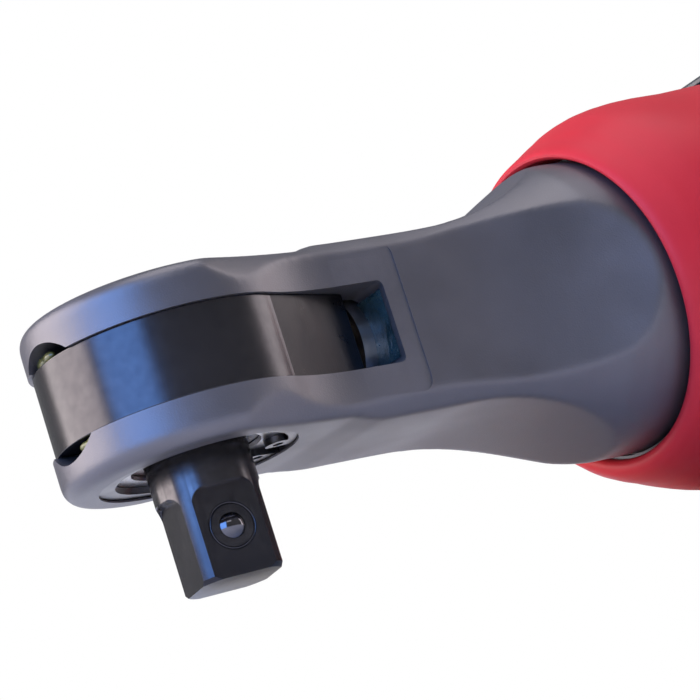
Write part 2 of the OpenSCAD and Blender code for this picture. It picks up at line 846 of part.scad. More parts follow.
module rear_end_plate() {
  color("#9c9ba1") difference() {
    end_plate(liner_back, plate_back - rotor_bearing_len);
    for (a = [20, 40, 60])
      rotate([a, 0, 0]) translate([0, 0, rotor_r - 1.5]) rod(1, liner_back - 1, plate_back + 1);
  }
}

module cylinder_liner() {
  color("#85868d") difference() {
    rod(ring_gear_r, liner_front, liner_back);
    translate([0, 0, liner_offset]) rod(liner_bore_r, liner_front - 1, liner_back + 1);
    for (x = [liner_front + rotor_len * 0.2 : rotor_len * 0.15 : liner_front + rotor_len * 0.85])
      translate([x, 0, 0]) rotate([180 + 55, 0, 0]) cylinder(r = 1.4, h = far, $fn = 32);
  }
}

// The vanes, or with a larger size the slots that they slide in
module vane_blades(half_t, depth, over) {
  for (i = [0 : vanes - 1])
    rotate([i * 360 / vanes, 0, 0])
      translate([liner_front + face - over, -half_t, rotor_r - depth])
        cube([rotor_len + 2 * over, 2 * half_t, depth + over]);
}

module rotor() {
  color("#97969c") {
    difference() {
      rod(rotor_r, liner_front + face, liner_front + face + rotor_len);
      vane_blades(vane_t / 2 + 0.02, vane_depth + 0.05, 1);
    }
    rod(rotor_shaft_r, plate_front - 0.4, liner_front + 1);
    rod(rotor_shaft_r, liner_back - 1, plate_back);
    translate([gear_front, 0, 0]) rotate([90, 0, 0]) rotate([90, 0, 90])
      linear_extrude(plate_front - gear_front) gear_2d(sun_teeth);
  }
}

module rotor_vanes() {
  color("#6a4a2f") vane_blades(vane_t / 2, vane_depth, 0);
}

module rotor_bearings() {
  outer = rotor_bearing_r - seat;
  color("silver") for (x = [plate_front, plate_back - rotor_bearing_len])
    ball_bearing_outer(rotor_shaft_r, outer, x + seat, rotor_bearing_len - 2 * seat, 7);
}

module rotor_bearing_inners() {
  outer = rotor_bearing_r - seat;
  color("silver") for (x = [plate_front, plate_back - rotor_bearing_len])
    ball_bearing_inner(rotor_shaft_r + seat, outer, x + seat, rotor_bearing_len - 2 * seat);
}

module motor_spacer() {
  color("#9c9ba1") pipe(ring_gear_r, ring_gear_r - 3, plate_back, spacer_back);
}

module grip_sleeve() {
  end_front = grip_back - 16;
  color("#232326") difference() {
    union() {
      rod(grip_r, grip_front, grip_back);
      turned() polygon([
        [grip_r - 1, end_front - 10], [grip_r, end_front - 10], [grip_end_r, end_front],
        [grip_end_r, grip_back - 3], [grip_end_r - 2, grip_back], [grip_r - 1, grip_back]
      ]);
    }
    rod(housing_r + seat, 0, far);
    for (i = [0 : grip_ribs - 1])
      translate([grip_front + 14 + i * (end_front - grip_front - 34) / (grip_ribs - 1), 0, 0])
        pipe(grip_r + 5, grip_r - 0.7, -1, 1);
    // flat under the lever, and the flat that the handle lies on
    translate([0, -lever_half_w - 1, housing_r + 0.8]) cube([far, lever_w + 2, far]);
    translate([0, -far / 2, rest_z - far]) cube(far);
    translate([stem_x, 0, 0]) cylinder(r = stem_bore_r + 0.6, h = far);
  }
}

// Lever outline from the side
module lever_side_2d() {
  x = lever_pin_x;
  nose = x - lever_nose;
  end = x + lever_len;
  polygon([
    [nose, lever_top], [nose, lever_top + 0.7], [nose + 1, lever_top + 1.2],
    [x, lever_top + 1.8], [x + 12, lever_top + 3], [x + lever_arm, lever_top + 3.4],
    [end - 8, lever_top + 5.6],
    [end, lever_top + 7.2], [end, lever_top + 5.4], [end - 8, lever_top + 3.4],
    [x + lever_arm + 8, lever_under], [x + 8, lever_under], [x + 4, lever_pin_z - 1],
    [x - 4, lever_pin_z - 1], [x - 5, lever_top]
  ]);
}

// A round bar along Y through the lever pivot
module at_lever_pin(r, half) {
  translate([lever_pin_x, -half, lever_pin_z]) rotate([-90, 0, 0]) cylinder(r = r, h = 2 * half);
}

module throttle_lever() {
  inner = lever_half_w - lever_sheet;
  color("#2b2b2f") difference() {
    union() {
      across(lever_half_w) lever_side_2d();
      at_lever_pin(2.7, lever_half_w);
    }
    at_lever_pin(lever_pin_r + run, far);
    // a recess underneath, from behind the pin to just before the valve stem
    translate([lever_pin_x + 12, -inner, lever_top - 5]) cube([lever_arm - 18, 2 * inner, 6.8]);
  }
}

module lever_pin() {
  color("silver") at_lever_pin(lever_pin_r - seat, lever_half_w + lug_gap + lug_t - 0.2);
}

module stem_guide() {
  color("#b08d57") translate([stem_x, 0, 9]) difference() {
    cylinder(r = stem_bore_r - seat, h = housing_r - 9.4);
    translate([0, 0, -1]) cylinder(r = stem_r + run, h = far);
    translate([0, 0, 3]) difference() {
      cylinder(r = far, h = 1.8);
      translate([0, 0, -1]) cylinder(r = stem_bore_r - 1, h = 5);
    }
  }
}

module stem_seal() {
  color("#1d1d1f") translate([stem_x, 0, 12.9]) rotate_extrude()
    translate([stem_bore_r - 0.5, 0]) circle(r = 0.45, $fn = 32);
}

module valve_stem() {
  color("silver") translate([stem_x, 0, 0]) {
    translate([0, 0, poppet_top - poppet_t]) cylinder(r = stem_r - 0.6, h = 5);
    translate([0, 0, poppet_top + seat]) cylinder(r = stem_r, h = stem_top - 1 - poppet_top);
    translate([0, 0, stem_top - 1]) cylinder(r1 = stem_r, r2 = stem_r - 0.7, h = 0.9);
  }
}

module valve_poppet() {
  color("#1d1d1f") translate([stem_x, 0, poppet_top - poppet_t]) difference() {
    cylinder(r = poppet_r, h = poppet_t);
    translate([0, 0, -1]) cylinder(r = stem_r - 0.6 + seat, h = 9);
  }
}

module valve_seat() {
  color("#b08d57") translate([stem_x, 0, poppet_top + 0.05]) difference() {
    cylinder(r = stem_bore_r - seat, h = 3);
    translate([0, 0, -1]) cylinder(r = stem_r + 0.9, h = 6);
  }
}

module valve_spring() {
  color("silver") translate([stem_x, 0, valve_floor])
    coil_sleeve(poppet_r - 0.4, 0.6, poppet_top - poppet_t - valve_floor - seat);
}

module inlet_bushing() {
  hex_front = housing_back + deflector_len + 1.5;
  color("#b5b4b8") difference() {
    union() {
      rod(inlet_thread_r, housing_back - inlet_thread_len, housing_back + 1);
      rod(inlet_collar_r, housing_back + 0.6, hex_front + 0.5);
      intersection() {
        translate([hex_front, 0, 0]) rotate([0, 90, 0])
          cylinder(r = inlet_af / 2 / cos(30), h = inlet_back - hex_front, $fn = 6);
        turned() polygon([
          [0, hex_front], [inlet_af / 2 + 0.2, hex_front], [inlet_af / 2 + 1.4, hex_front + 1],
          [inlet_af / 2 + 1.4, inlet_back - 1], [inlet_af / 2 + 0.2, inlet_back], [0, inlet_back]
        ]);
      }
    }
    rod(inlet_r, inlet_back - 16, inlet_back + 1);
    rod(screen_r - 0.8, 0, far);
    rod(screen_r + 0.05, 0, housing_back - inlet_thread_len + screen_len + 1);
    // groove for the deflector clip
    pipe(inlet_collar_r + 1, inlet_collar_r - 0.7, hex_front - 1.3, hex_front - 0.4);
  }
}

module inlet_screen() {
  x0 = housing_back - inlet_thread_len;
  color("#a98f5a") difference() {
    rod(screen_r, x0 + 0.4, x0 + screen_len);
    rod(screen_r - 0.5, x0 - 1, x0 + screen_len - 0.6);
    for (k = [0 : 3]) around_x(8, 0, 45 * (k % 2) / 2)
      translate([x0 + 2 + 1.8 * k, 0, 0]) rotate([-90, 0, 0]) cylinder(r = 0.5, h = far, $fn = 24);
  }
}

module inlet_seal() {
  color("#1d1d1f") turned() translate([inlet_collar_r - 1.2, housing_back + 0.3])
    circle(r = 0.28, $fn = 32);
}

module exhaust_deflector() {
  x0 = housing_back + 0.3;
  x1 = housing_back + deflector_len;
  outer = housing_r + 0.6;
  color("#2b2b2f") difference() {
    turned() polygon([
      [inlet_collar_r + run, x1 - 2.2], [inlet_collar_r + run, x1], [outer - 3, x1],
      [outer, x1 - 3], [outer, x0], [outer - 1.8, x0], [outer - 1.8, x1 - 2.2]
    ]);
    for (i = [0 : 6])
      rotate([-54 + 18 * i, 0, 0]) translate([x0 + 3, -1.4, 0]) cube([deflector_len - 7.5, 2.8, far]);
  }
}

module deflector_clip() {
  x = housing_back + deflector_len + 0.25;
  color("#8a8890") rotate([90, 0, 0]) translate([x, 0, 0]) rotate([90, 0, 90])
    linear_extrude(0.8) difference() {
      circle(r = inlet_collar_r + 1.6);
      circle(r = inlet_collar_r - 0.6);
      polygon([[0, 0], [far, -far * tan(20)], [far, far * tan(20)]]);
    }
}

module muffler() {
  color("#5f6a4e")
    pipe(housing_r - 1.6, inlet_collar_r + 0.4, housing_back + 0.5, housing_back + deflector_len - 2.6);
}

translate([0, 0, drive_drop]) {
  ratchet_head();
  yoke();
  anvil();
  detent_ball();
  detent_spring();
  reverse_knob();
  knob_pin();
  pawl();
  pawl_pin();
  pawl_plunger();
  pawl_spring();
  thrust_washer();
  retaining_ring();
  crankshaft();
  drive_bushing();
  needle_bearing();
  crank_bearing();
  crank_bearing_inner();
  planet_pins();
  planet_gear_1();
  planet_gear_2();
  planet_gear_3();
  ring_gear();
  coupling_nut();
  front_collar();
  motor_housing();
  front_end_plate();
  rear_end_plate();
  cylinder_liner();
  rotor();
  rotor_vanes();
  rotor_bearings();
  rotor_bearing_inners();
  motor_spacer();
  grip_sleeve();
  throttle_lever();
  lever_pin();
  stem_guide();
  stem_seal();
  valve_stem();
  valve_poppet();
  valve_seat();
  valve_spring();
  inlet_bushing();
  inlet_screen();
  inlet_seal();
  exhaust_deflector();
  deflector_clip();
  muffler();
}
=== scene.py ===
"""Air ratchet: the visible pieces, their finishes and the studio round them."""

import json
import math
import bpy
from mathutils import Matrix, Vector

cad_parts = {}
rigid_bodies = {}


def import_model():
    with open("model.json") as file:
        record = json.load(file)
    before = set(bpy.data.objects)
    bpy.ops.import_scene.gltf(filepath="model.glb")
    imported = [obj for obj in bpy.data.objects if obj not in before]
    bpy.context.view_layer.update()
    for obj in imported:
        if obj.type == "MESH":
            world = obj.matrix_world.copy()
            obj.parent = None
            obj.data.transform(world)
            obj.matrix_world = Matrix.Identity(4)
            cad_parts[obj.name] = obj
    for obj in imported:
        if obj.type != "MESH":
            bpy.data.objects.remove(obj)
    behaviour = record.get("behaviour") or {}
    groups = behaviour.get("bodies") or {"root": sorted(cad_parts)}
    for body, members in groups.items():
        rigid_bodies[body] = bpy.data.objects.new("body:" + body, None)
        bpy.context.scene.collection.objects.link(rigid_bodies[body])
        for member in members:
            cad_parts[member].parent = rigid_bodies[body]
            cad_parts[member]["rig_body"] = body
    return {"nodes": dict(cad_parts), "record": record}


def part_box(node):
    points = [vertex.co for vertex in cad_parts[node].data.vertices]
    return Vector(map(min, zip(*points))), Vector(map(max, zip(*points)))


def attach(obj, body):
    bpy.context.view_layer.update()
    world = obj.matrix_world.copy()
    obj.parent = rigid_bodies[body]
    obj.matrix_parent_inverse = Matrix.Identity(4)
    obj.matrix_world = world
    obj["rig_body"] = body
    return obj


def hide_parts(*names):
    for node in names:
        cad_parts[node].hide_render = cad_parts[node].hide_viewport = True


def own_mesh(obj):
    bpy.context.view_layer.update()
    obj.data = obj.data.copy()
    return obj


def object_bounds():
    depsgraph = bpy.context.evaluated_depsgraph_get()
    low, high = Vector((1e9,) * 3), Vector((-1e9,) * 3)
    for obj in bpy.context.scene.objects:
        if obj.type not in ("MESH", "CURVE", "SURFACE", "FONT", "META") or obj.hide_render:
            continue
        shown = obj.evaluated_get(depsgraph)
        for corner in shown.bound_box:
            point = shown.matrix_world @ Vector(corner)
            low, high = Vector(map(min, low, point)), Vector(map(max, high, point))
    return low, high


bl_info = {
    "name": "Air Ratchet",
    "version": (1, 0, 0),
    "blender": (4, 5, 0),
    "location": "View3D > Sidebar > Ratchet",
    "description": "Builds the outer pieces of a small air ratchet over its working parts",
    "category": "Add Mesh",
}

import bmesh
import bpy
from bpy.props import FloatProperty, FloatVectorProperty, IntProperty, PointerProperty
from mathutils import Matrix, Vector

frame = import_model()
NODES = frame["nodes"]
CAD_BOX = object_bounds()
MM = 0.001
UP = 23.7  # height of the tool axis above the drive tip, in millimetres
REST = 24.86  # how far below the tool axis the handle rests
X_AXIS, Z_AXIS = Vector((1, 0, 0)), Vector((0, 0, 1))
SLOT_OF = {s["node"]: s["material_slot"] for s in frame["record"]["subparts"]}
CAD_FACETS = math.radians(1.0)  # flat faces of the CAD nodes bend less than this between triangles
HARD_EDGE = math.radians(32)  # an edge sharper than this is shaded as a crease
FULLY_WORN = math.radians(60)  # an edge this sharp shows all of its finish's wear
NEUTRAL_LEAN = 7.6  # the collar lean that its rings are drawn for


# ---------------------------------------------------------------- settings


class HeadSettings(bpy.types.PropertyGroup):
    """Sizes of the forged head, in millimetres."""

    voxel: FloatProperty(
        name="Skin Cell", description="Size of the cells of the forged skin", default=0.34, min=0.2, max=1.0
    )
    soften: IntProperty(
        name="Edge Softening", description="How many times the forged edges are eased", default=7,
        min=0, max=30
    )
    pad_step: FloatProperty(
        name="Milled Pad Step", description="Depth of the milled pad behind the slot", default=0.12,
        min=0, max=0.5
    )
    machined_edge: FloatProperty(
        name="Machined Edge", description="Width of the broken edge on the yoke's rim", default=0.18,
        min=0.02, max=1.0
    )


class HandleSettings(bpy.types.PropertyGroup):
    """Sizes of the collar, in millimetres."""

    collar_lean: FloatProperty(
        name="Collar Lean", description="How far the lip leans back at the bottom", default=NEUTRAL_LEAN,
        min=0, max=20
    )
    lip_roll: FloatProperty(
        name="Lip Roll", description="Radius of the rolled lip of the collar", default=1.3,
        min=0.3, max=2.0
    )


class FinishSettings(bpy.types.PropertyGroup):
    """Colours of the finishes."""

    head: FloatVectorProperty(
        name="Head", description="Blackened steel of the head", subtype="COLOR", size=3,
        default=(0.130, 0.121, 0.133), min=0, max=1
    )
    oxide: FloatVectorProperty(
        name="Black Oxide", description="Yoke and drive square", subtype="COLOR", size=3,
        default=(0.045, 0.042, 0.048), min=0, max=1
    )
    collar: FloatVectorProperty(
        name="Collar", description="Red front collar", subtype="COLOR", size=3,
        default=(0.52, 0.022, 0.030), min=0, max=1
    )
    grip: FloatVectorProperty(
        name="Grip", description="Rubber of the grip", subtype="COLOR", size=3,
        default=(0.018, 0.018, 0.020), min=0, max=1
    )


class StudioSettings(bpy.types.PropertyGroup):
    """Camera and light of the studio."""

    distance: FloatProperty(
        name="Camera Distance", description="From the tool's axis to the camera", default=0.4, unit="LENGTH",
        min=0.1, max=3
    )
    lens: FloatProperty(
        name="Lens", description="Focal length in millimetres", default=176.75, min=20, max=400
    )
    light: FloatProperty(
        name="Light", description="Strength of the studio light", default=1.0, min=0, max=5
    )


# ---------------------------------------------------------------- meshes


def mm(*values):
    """A point given in millimetres from the tool axis, with x from the drive axis."""
    x, y, z = values
    return Vector((x * MM, y * MM, (z + UP) * MM))


def copy_mesh(node):
    """A merged copy of a CAD node, with its flat faces made whole."""
    bm = bmesh.new()
    bm.from_mesh(NODES[node].data)
    bmesh.ops.remove_doubles(bm, verts=bm.verts, dist=0.002 * MM)
    bmesh.ops.dissolve_degenerate(bm, edges=bm.edges, dist=0.002 * MM)
    bmesh.ops.dissolve_limit(bm, angle_limit=CAD_FACETS, verts=bm.verts, edges=bm.edges)
    return bm


def edge_angle(edge):
    """How far a shell turns at an edge, in radians."""
    return edge.calc_face_angle(0.0) if len(edge.link_faces) == 2 else 0.0


def break_edges(bm, width, angle, segments, keep=None):
    """Breaks the edges sharper than an angle in degrees; keep picks which of them."""
    limit = math.radians(angle)
    hard = [e for e in bm.edges if edge_angle(e) > limit and (keep is None or keep(e))]
    bmesh.ops.bevel(
        bm, geom=hard, offset=width * MM, offset_type="OFFSET", segments=segments, profile=0.5,
        affect="EDGES", clamp_overlap=True, material=-1,
    )
    bmesh.ops.remove_doubles(bm, verts=bm.verts, dist=0.001 * MM)


def mark_wear(mesh, bm):
    """Stores how hard the edges are that meet at each corner, for worn paint."""
    values = []
    for v in bm.verts:
        worst = max((edge_angle(e) for e in v.link_edges), default=0)
        values.append(min(1.0, worst / FULLY_WORN))
    layer = mesh.attributes.new("edge_wear", "FLOAT", "POINT")
    layer.data.foreach_set("value", values)


def turn_outward(bm):
    """Points every face of a closed shell outwards."""
    bmesh.ops.recalc_face_normals(bm, faces=bm.faces)
    if bm.calc_volume(signed=True) < 0:
        bmesh.ops.reverse_faces(bm, faces=bm.faces)


def mesh_from(name, bm):
    """A mesh with smooth faces and creased hard edges. The working shape is freed."""
    bm.normal_update()
    for face in bm.faces:
        face.smooth = True
    for edge in bm.edges:
        edge.smooth = edge_angle(edge) < HARD_EDGE
    mesh = bpy.data.meshes.new(name)
    bm.to_mesh(mesh)
    mark_wear(mesh, bm)
    bm.free()
    return mesh


def add_piece(name, bm, slot, body, replaces=(), machined=False):
    """Makes a piece of a finished shape, with its slot's material, that rides on its body."""
    piece = bpy.data.objects.new(name, mesh_from(name, bm))
    bpy.context.scene.collection.objects.link(piece)
    if machined:
        flats = piece.modifiers.new("Flat Faces", "WEIGHTED_NORMAL")
        flats.keep_sharp = True
        settle(piece)
    piece.data.materials.clear()
    piece.data.materials.append(finish(slot))
    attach(piece, body)
    if replaces:
        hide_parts(*replaces)
    return piece


def refine(node, name, width, angle, segments, keep=None):
    """Adds a copy of a CAD node with its hard edges broken, in its own place and finish."""
    bm = copy_mesh(node)
    break_edges(bm, width, angle, segments, keep)
    return add_piece(name, bm, SLOT_OF[node], NODES[node]["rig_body"], [node], machined=True)


def solid_box(low, high):
    """A box between two corners, in millimetres from the tool axis."""
    bm = bmesh.new()
    bmesh.ops.create_cube(bm, size=1.0)
    low, high = mm(*low), mm(*high)
    size = high - low
    bmesh.ops.scale(bm, vec=size, verts=bm.verts)
    bmesh.ops.translate(bm, vec=(low + high) / 2, verts=bm.verts)
    return bm


def solid_rod(radius, start, end, axis="X", sides=96):
    """A round bar between two stations of an axis, in millimetres."""
    bm = bmesh.new()
    bmesh.ops.create_cone(
        bm, cap_ends=True, segments=sides, radius1=radius * MM, radius2=radius * MM, depth=(end - start) * MM
    )
    middle = (start + end) / 2
    if axis == "X":
        bmesh.ops.rotate(bm, cent=(0, 0, 0), matrix=Matrix.Rotation(math.pi / 2, 3, "Y"), verts=bm.verts)
        bmesh.ops.translate(bm, vec=mm(middle, 0, 0), verts=bm.verts)
    else:
        bmesh.ops.translate(bm, vec=mm(0, 0, middle), verts=bm.verts)
    return bm


def arc(cx, cy, radius, start, end, steps):
    """Corners along an arc, with its angles in degrees."""
    points = []
    for i in range(steps + 1):
        a = math.radians(start + (end - start) * i / steps)
        points.append((cx + radius * math.cos(a), cy + radius * math.sin(a)))
    return points


def drawn_solid(points, axis, half):
    """Spreads an outline both ways along an axis."""
    bm = bmesh.new()
    if axis == "Z":
        verts = [bm.verts.new(mm(x, y, -half)) for x, y in points]
        lift = Vector((0, 0, 2 * half * MM))
    else:
        verts = [bm.verts.new(mm(x, -half, z)) for x, z in points]
        lift = Vector((0, 2 * half * MM, 0))
    face = bm.faces.new(verts)
    top = bmesh.ops.extrude_face_region(bm, geom=[face])
    moved = [v for v in top["geom"] if isinstance(v, bmesh.types.BMVert)]
    bmesh.ops.translate(bm, vec=lift, verts=moved)
    bmesh.ops.recalc_face_normals(bm, faces=bm.faces)
    return bm


def spun(profile, axis="X", steps=128, closed=False):
    """Turns a profile of (station, radius) about the tool axis, or (radius, height) about the drive axis."""
    bm = bmesh.new()
    if axis == "X":
        verts = [bm.verts.new(mm(x, 0, r)) for x, r in profile]
        line = X_AXIS
    else:
        verts = [bm.verts.new(mm(r, 0, z)) for r, z in profile]
        line = Z_AXIS
    edges = [bm.edges.new(pair) for pair in zip(verts, verts[1:])]
    if closed:
        edges.append(bm.edges.new((verts[-1], verts[0])))
    bmesh.ops.spin(
        bm, geom=verts + edges, cent=mm(0, 0, 0), axis=line, angle=math.tau, steps=steps, use_merge=True
    )
    bmesh.ops.remove_doubles(bm, verts=bm.verts, dist=0.002 * MM)
    bmesh.ops.recalc_face_normals(bm, faces=bm.faces)
    return bm


def blank(name, bm):
    """A working piece at a thousand times its size, which keeps cuts and skins exact."""
    bmesh.ops.scale(bm, vec=(1 / MM,) * 3, verts=bm.verts)
    mesh = bpy.data.meshes.new(name)
    bm.to_mesh(mesh)
    bm.free()
    thing = bpy.data.objects.new(name, mesh)
    bpy.context.scene.collection.objects.link(thing)
    return thing


def worked(thing):
    """The mesh of a working piece at its real size. The working piece is removed."""
    bm = bmesh.new()
    bm.from_mesh(thing.data)
    bpy.data.objects.remove(thing)
    bmesh.ops.scale(bm, vec=(MM,) * 3, verts=bm.verts)
    return bm


def skin_over(thing, cell):
    """Wraps a working piece in one skin of small cells, with their size in millimetres."""
    bm = bmesh.new()
    bm.from_mesh(thing.data)
    bmesh.ops.remove_doubles(bm, verts=bm.verts, dist=0.005)
    bmesh.ops.dissolve_degenerate(bm, edges=bm.edges, dist=0.005)
    bmesh.ops.holes_fill(bm, edges=bm.edges)
    bm.to_mesh(thing.data)
    bm.free()
    skin = thing.modifiers.new("Skin", "REMESH")
    skin.mode = "VOXEL"
    skin.voxel_size = cell
    return settle(thing)


def combine(base, tools, operation):
    """Joins, cuts or trims a piece with others, which are then removed."""
    for tool in tools:
        step = base.modifiers.new(operation.title(), "BOOLEAN")
        step.operation = operation
        step.solver = "EXACT"
        step.object = tool
    settle(base)
    for tool in tools:
        bpy.data.objects.remove(tool)
    return base


def settle(thing):
    """Applies every modifier of a piece."""
    bpy.context.view_layer.update()
    graph = bpy.context.evaluated_depsgraph_get()
    mesh = bpy.data.meshes.new_from_object(thing.evaluated_get(graph))
    thing.modifiers.clear()
    thing.data = mesh
    return thing


def smooth_spots(bm, spots, rounds):
    """Eases some corners of a shape, a number of times."""
    for _ in range(rounds):
        bmesh.ops.smooth_vert(
            bm, verts=spots, factor=0.5, use_axis_x=True, use_axis_y=True, use_axis_z=True
        )


# ---------------------------------------------------------------- finishes


def effect_group(name, inputs, outputs):
    """An empty node group with named inputs and outputs."""
    group = bpy.data.node_groups.new(name, "ShaderNodeTree")
    for label, kind, value in inputs:
        socket = group.interface.new_socket(label, in_out="INPUT", socket_type=kind)
        socket.default_value = value
    for label in outputs:
        group.interface.new_socket(label, in_out="OUTPUT", socket_type="NodeSocketFloat")
    return group, group.nodes.new("NodeGroupInput"), group.nodes.new("NodeGroupOutput")


def math_node(tree, operation, first, second, clamp=False):
    """Works out one value from two sockets or numbers."""
    node = tree.nodes.new("ShaderNodeMath")
    node.operation = operation
    node.use_clamp = clamp
    for socket, value in zip(node.inputs, (first, second)):
        if hasattr(value, "node"):
            tree.links.new(value, socket)
        else:
            socket.default_value = value
    return node.outputs[0]


def grain_effect():
    """Fine cast, blasted or moulded grain, with slow changes of tone."""
    if "Fine Grain" in bpy.data.node_groups:
        return bpy.data.node_groups["Fine Grain"]
    group, entry, leave = effect_group(
        "Fine Grain",
        [("Grain Scale", "NodeSocketFloat", 5000.0), ("Tone Scale", "NodeSocketFloat", 90.0)],
        ["Height", "Tone"],
    )
    place = group.nodes.new("ShaderNodeTexCoord")
    fine = group.nodes.new("ShaderNodeTexNoise")
    fine.inputs["Detail"].default_value = 2.0
    broad = group.nodes.new("ShaderNodeTexNoise")
    broad.inputs["Detail"].default_value = 3.0
    for noise, source in ((fine, "Grain Scale"), (broad, "Tone Scale")):
        group.links.new(place.outputs["Object"], noise.inputs["Vector"])
        group.links.new(entry.outputs[source], noise.inputs["Scale"])
    group.links.new(fine.outputs["Fac"], leave.inputs["Height"])
    group.links.new(broad.outputs["Fac"], leave.inputs["Tone"])
    return group


def wear_effect():
    """Bare metal or rubbed plastic along hard edges, broken up by noise."""
    if "Edge Wear" in bpy.data.node_groups:
        return bpy.data.node_groups["Edge Wear"]
    group, entry, leave = effect_group(
        "Edge Wear",
        [("Amount", "NodeSocketFloat", 0.5), ("Break Up Scale", "NodeSocketFloat", 900.0)],
        ["Mask"],
    )
    edge = group.nodes.new("ShaderNodeAttribute")
    edge.attribute_name = "edge_wear"
    place = group.nodes.new("ShaderNodeTexCoord")
    noise = group.nodes.new("ShaderNodeTexNoise")
    noise.inputs["Detail"].default_value = 3.0
    group.links.new(place.outputs["Object"], noise.inputs["Vector"])
    group.links.new(entry.outputs["Break Up Scale"], noise.inputs["Scale"])
    worn = math_node(group, "MULTIPLY", edge.outputs["Fac"], noise.outputs["Fac"])
    worn = math_node(group, "MULTIPLY", worn, entry.outputs["Amount"], clamp=True)
    group.links.new(worn, leave.inputs["Mask"])
    return group


def lines_effect():
    """Fine parallel tool marks. The stretch is large across the marks and small along them."""
    if "Tool Marks" in bpy.data.node_groups:
        return bpy.data.node_groups["Tool Marks"]
    group, entry, leave = effect_group(
        "Tool Marks", [("Stretch", "NodeSocketVector", (4000.0, 4000.0, 60.0))], ["Height"]
    )
    place = group.nodes.new("ShaderNodeTexCoord")
    scale = group.nodes.new("ShaderNodeVectorMath")
    scale.operation = "MULTIPLY"
    noise = group.nodes.new("ShaderNodeTexNoise")
    noise.inputs["Scale"].default_value = 1.0
    noise.inputs["Detail"].default_value = 2.0
    group.links.new(place.outputs["Object"], scale.inputs[0])
    group.links.new(entry.outputs["Stretch"], scale.inputs[1])
    group.links.new(scale.outputs[0], noise.inputs["Vector"])
    group.links.new(noise.outputs["Fac"], leave.inputs["Height"])
    return group


def add_group(tree, group, **values):
    """Places a shared effect in a material, with its own values."""
    node = tree.nodes.new("ShaderNodeGroup")
    node.node_tree = group
    for label, value in values.items():
        node.inputs[label.replace("_", " ")].default_value = value
    return node


def mix_colour(tree, share, first, second):
    """Mixes two colours by a mask."""
    node = tree.nodes.new("ShaderNodeMix")
    node.data_type = "RGBA"
    for socket, value in ((node.inputs[0], share), (node.inputs[6], first), (node.inputs[7], second)):
        if hasattr(value, "node"):
            tree.links.new(value, socket)
        elif isinstance(value, (int, float)):
            socket.default_value = value
        else:
            socket.default_value = (*value, 1.0)
    return node.outputs[2]


def spread(tree, value, low, high, out_low, out_high):
    """Maps a value from one range to another."""
    node = tree.nodes.new("ShaderNodeMapRange")
    tree.links.new(value, node.inputs["Value"])
    for label, number in (("From Min", low), ("From Max", high), ("To Min", out_low), ("To Max", out_high)):
        node.inputs[label].default_value = number
    return node.outputs[0]


def make_finish(
    name, colour, metallic=0.0, rough=0.4, grain=5000.0, depth=0.02, tone=0.12, tone_scale=90.0,
    wear=0.0, worn=(0.5, 0.5, 0.5), lines=None, line_depth=0.0, coat=0.0, coat_rough=0.2, ior=1.5,
    rough_change=0.06, sheen=0.0,
):
    """A material with grain, tone, tool marks and worn edges, each from its shared group."""
    material = bpy.data.materials.new(name)
    material.use_nodes = True
    tree = material.node_tree
    shader = tree.nodes["Principled BSDF"]
    shader.inputs["Metallic"].default_value = metallic
    shader.inputs["IOR"].default_value = ior
    shader.inputs["Coat Weight"].default_value = coat
    shader.inputs["Coat Roughness"].default_value = coat_rough
    shader.inputs["Sheen Weight"].default_value = sheen
    skin = add_group(tree, grain_effect(), Grain_Scale=grain, Tone_Scale=tone_scale)
    dark = tuple(c * (1 - tone) for c in colour)
    light = tuple(min(1.0, c * (1 + tone)) for c in colour)
    share = spread(tree, skin.outputs["Tone"], 0.3, 0.7, 0.0, 1.0)
    base = mix_colour(tree, share, dark, light)
    if wear:
        mask = add_group(tree, wear_effect(), Amount=wear).outputs["Mask"]
        base = mix_colour(tree, mask, base, worn)
    tree.links.new(base, shader.inputs["Base Color"])
    roughness = spread(tree, skin.outputs["Tone"], 0.3, 0.7, rough - rough_change, rough + rough_change)
    tree.links.new(roughness, shader.inputs["Roughness"])
    bump = tree.nodes.new("ShaderNodeBump")
    bump.inputs["Strength"].default_value = 1.0
    bump.inputs["Distance"].default_value = depth * MM
    tree.links.new(skin.outputs["Height"], bump.inputs["Height"])
    last = bump
    if lines:
        marks = add_group(tree, lines_effect(), Stretch=lines)
        last = tree.nodes.new("ShaderNodeBump")
        last.inputs["Distance"].default_value = line_depth * MM
        tree.links.new(marks.outputs["Height"], last.inputs["Height"])
        tree.links.new(bump.outputs["Normal"], last.inputs["Normal"])
    tree.links.new(last.outputs["Normal"], shader.inputs["Normal"])
    material.diffuse_color = (*colour, 1.0)
    return material


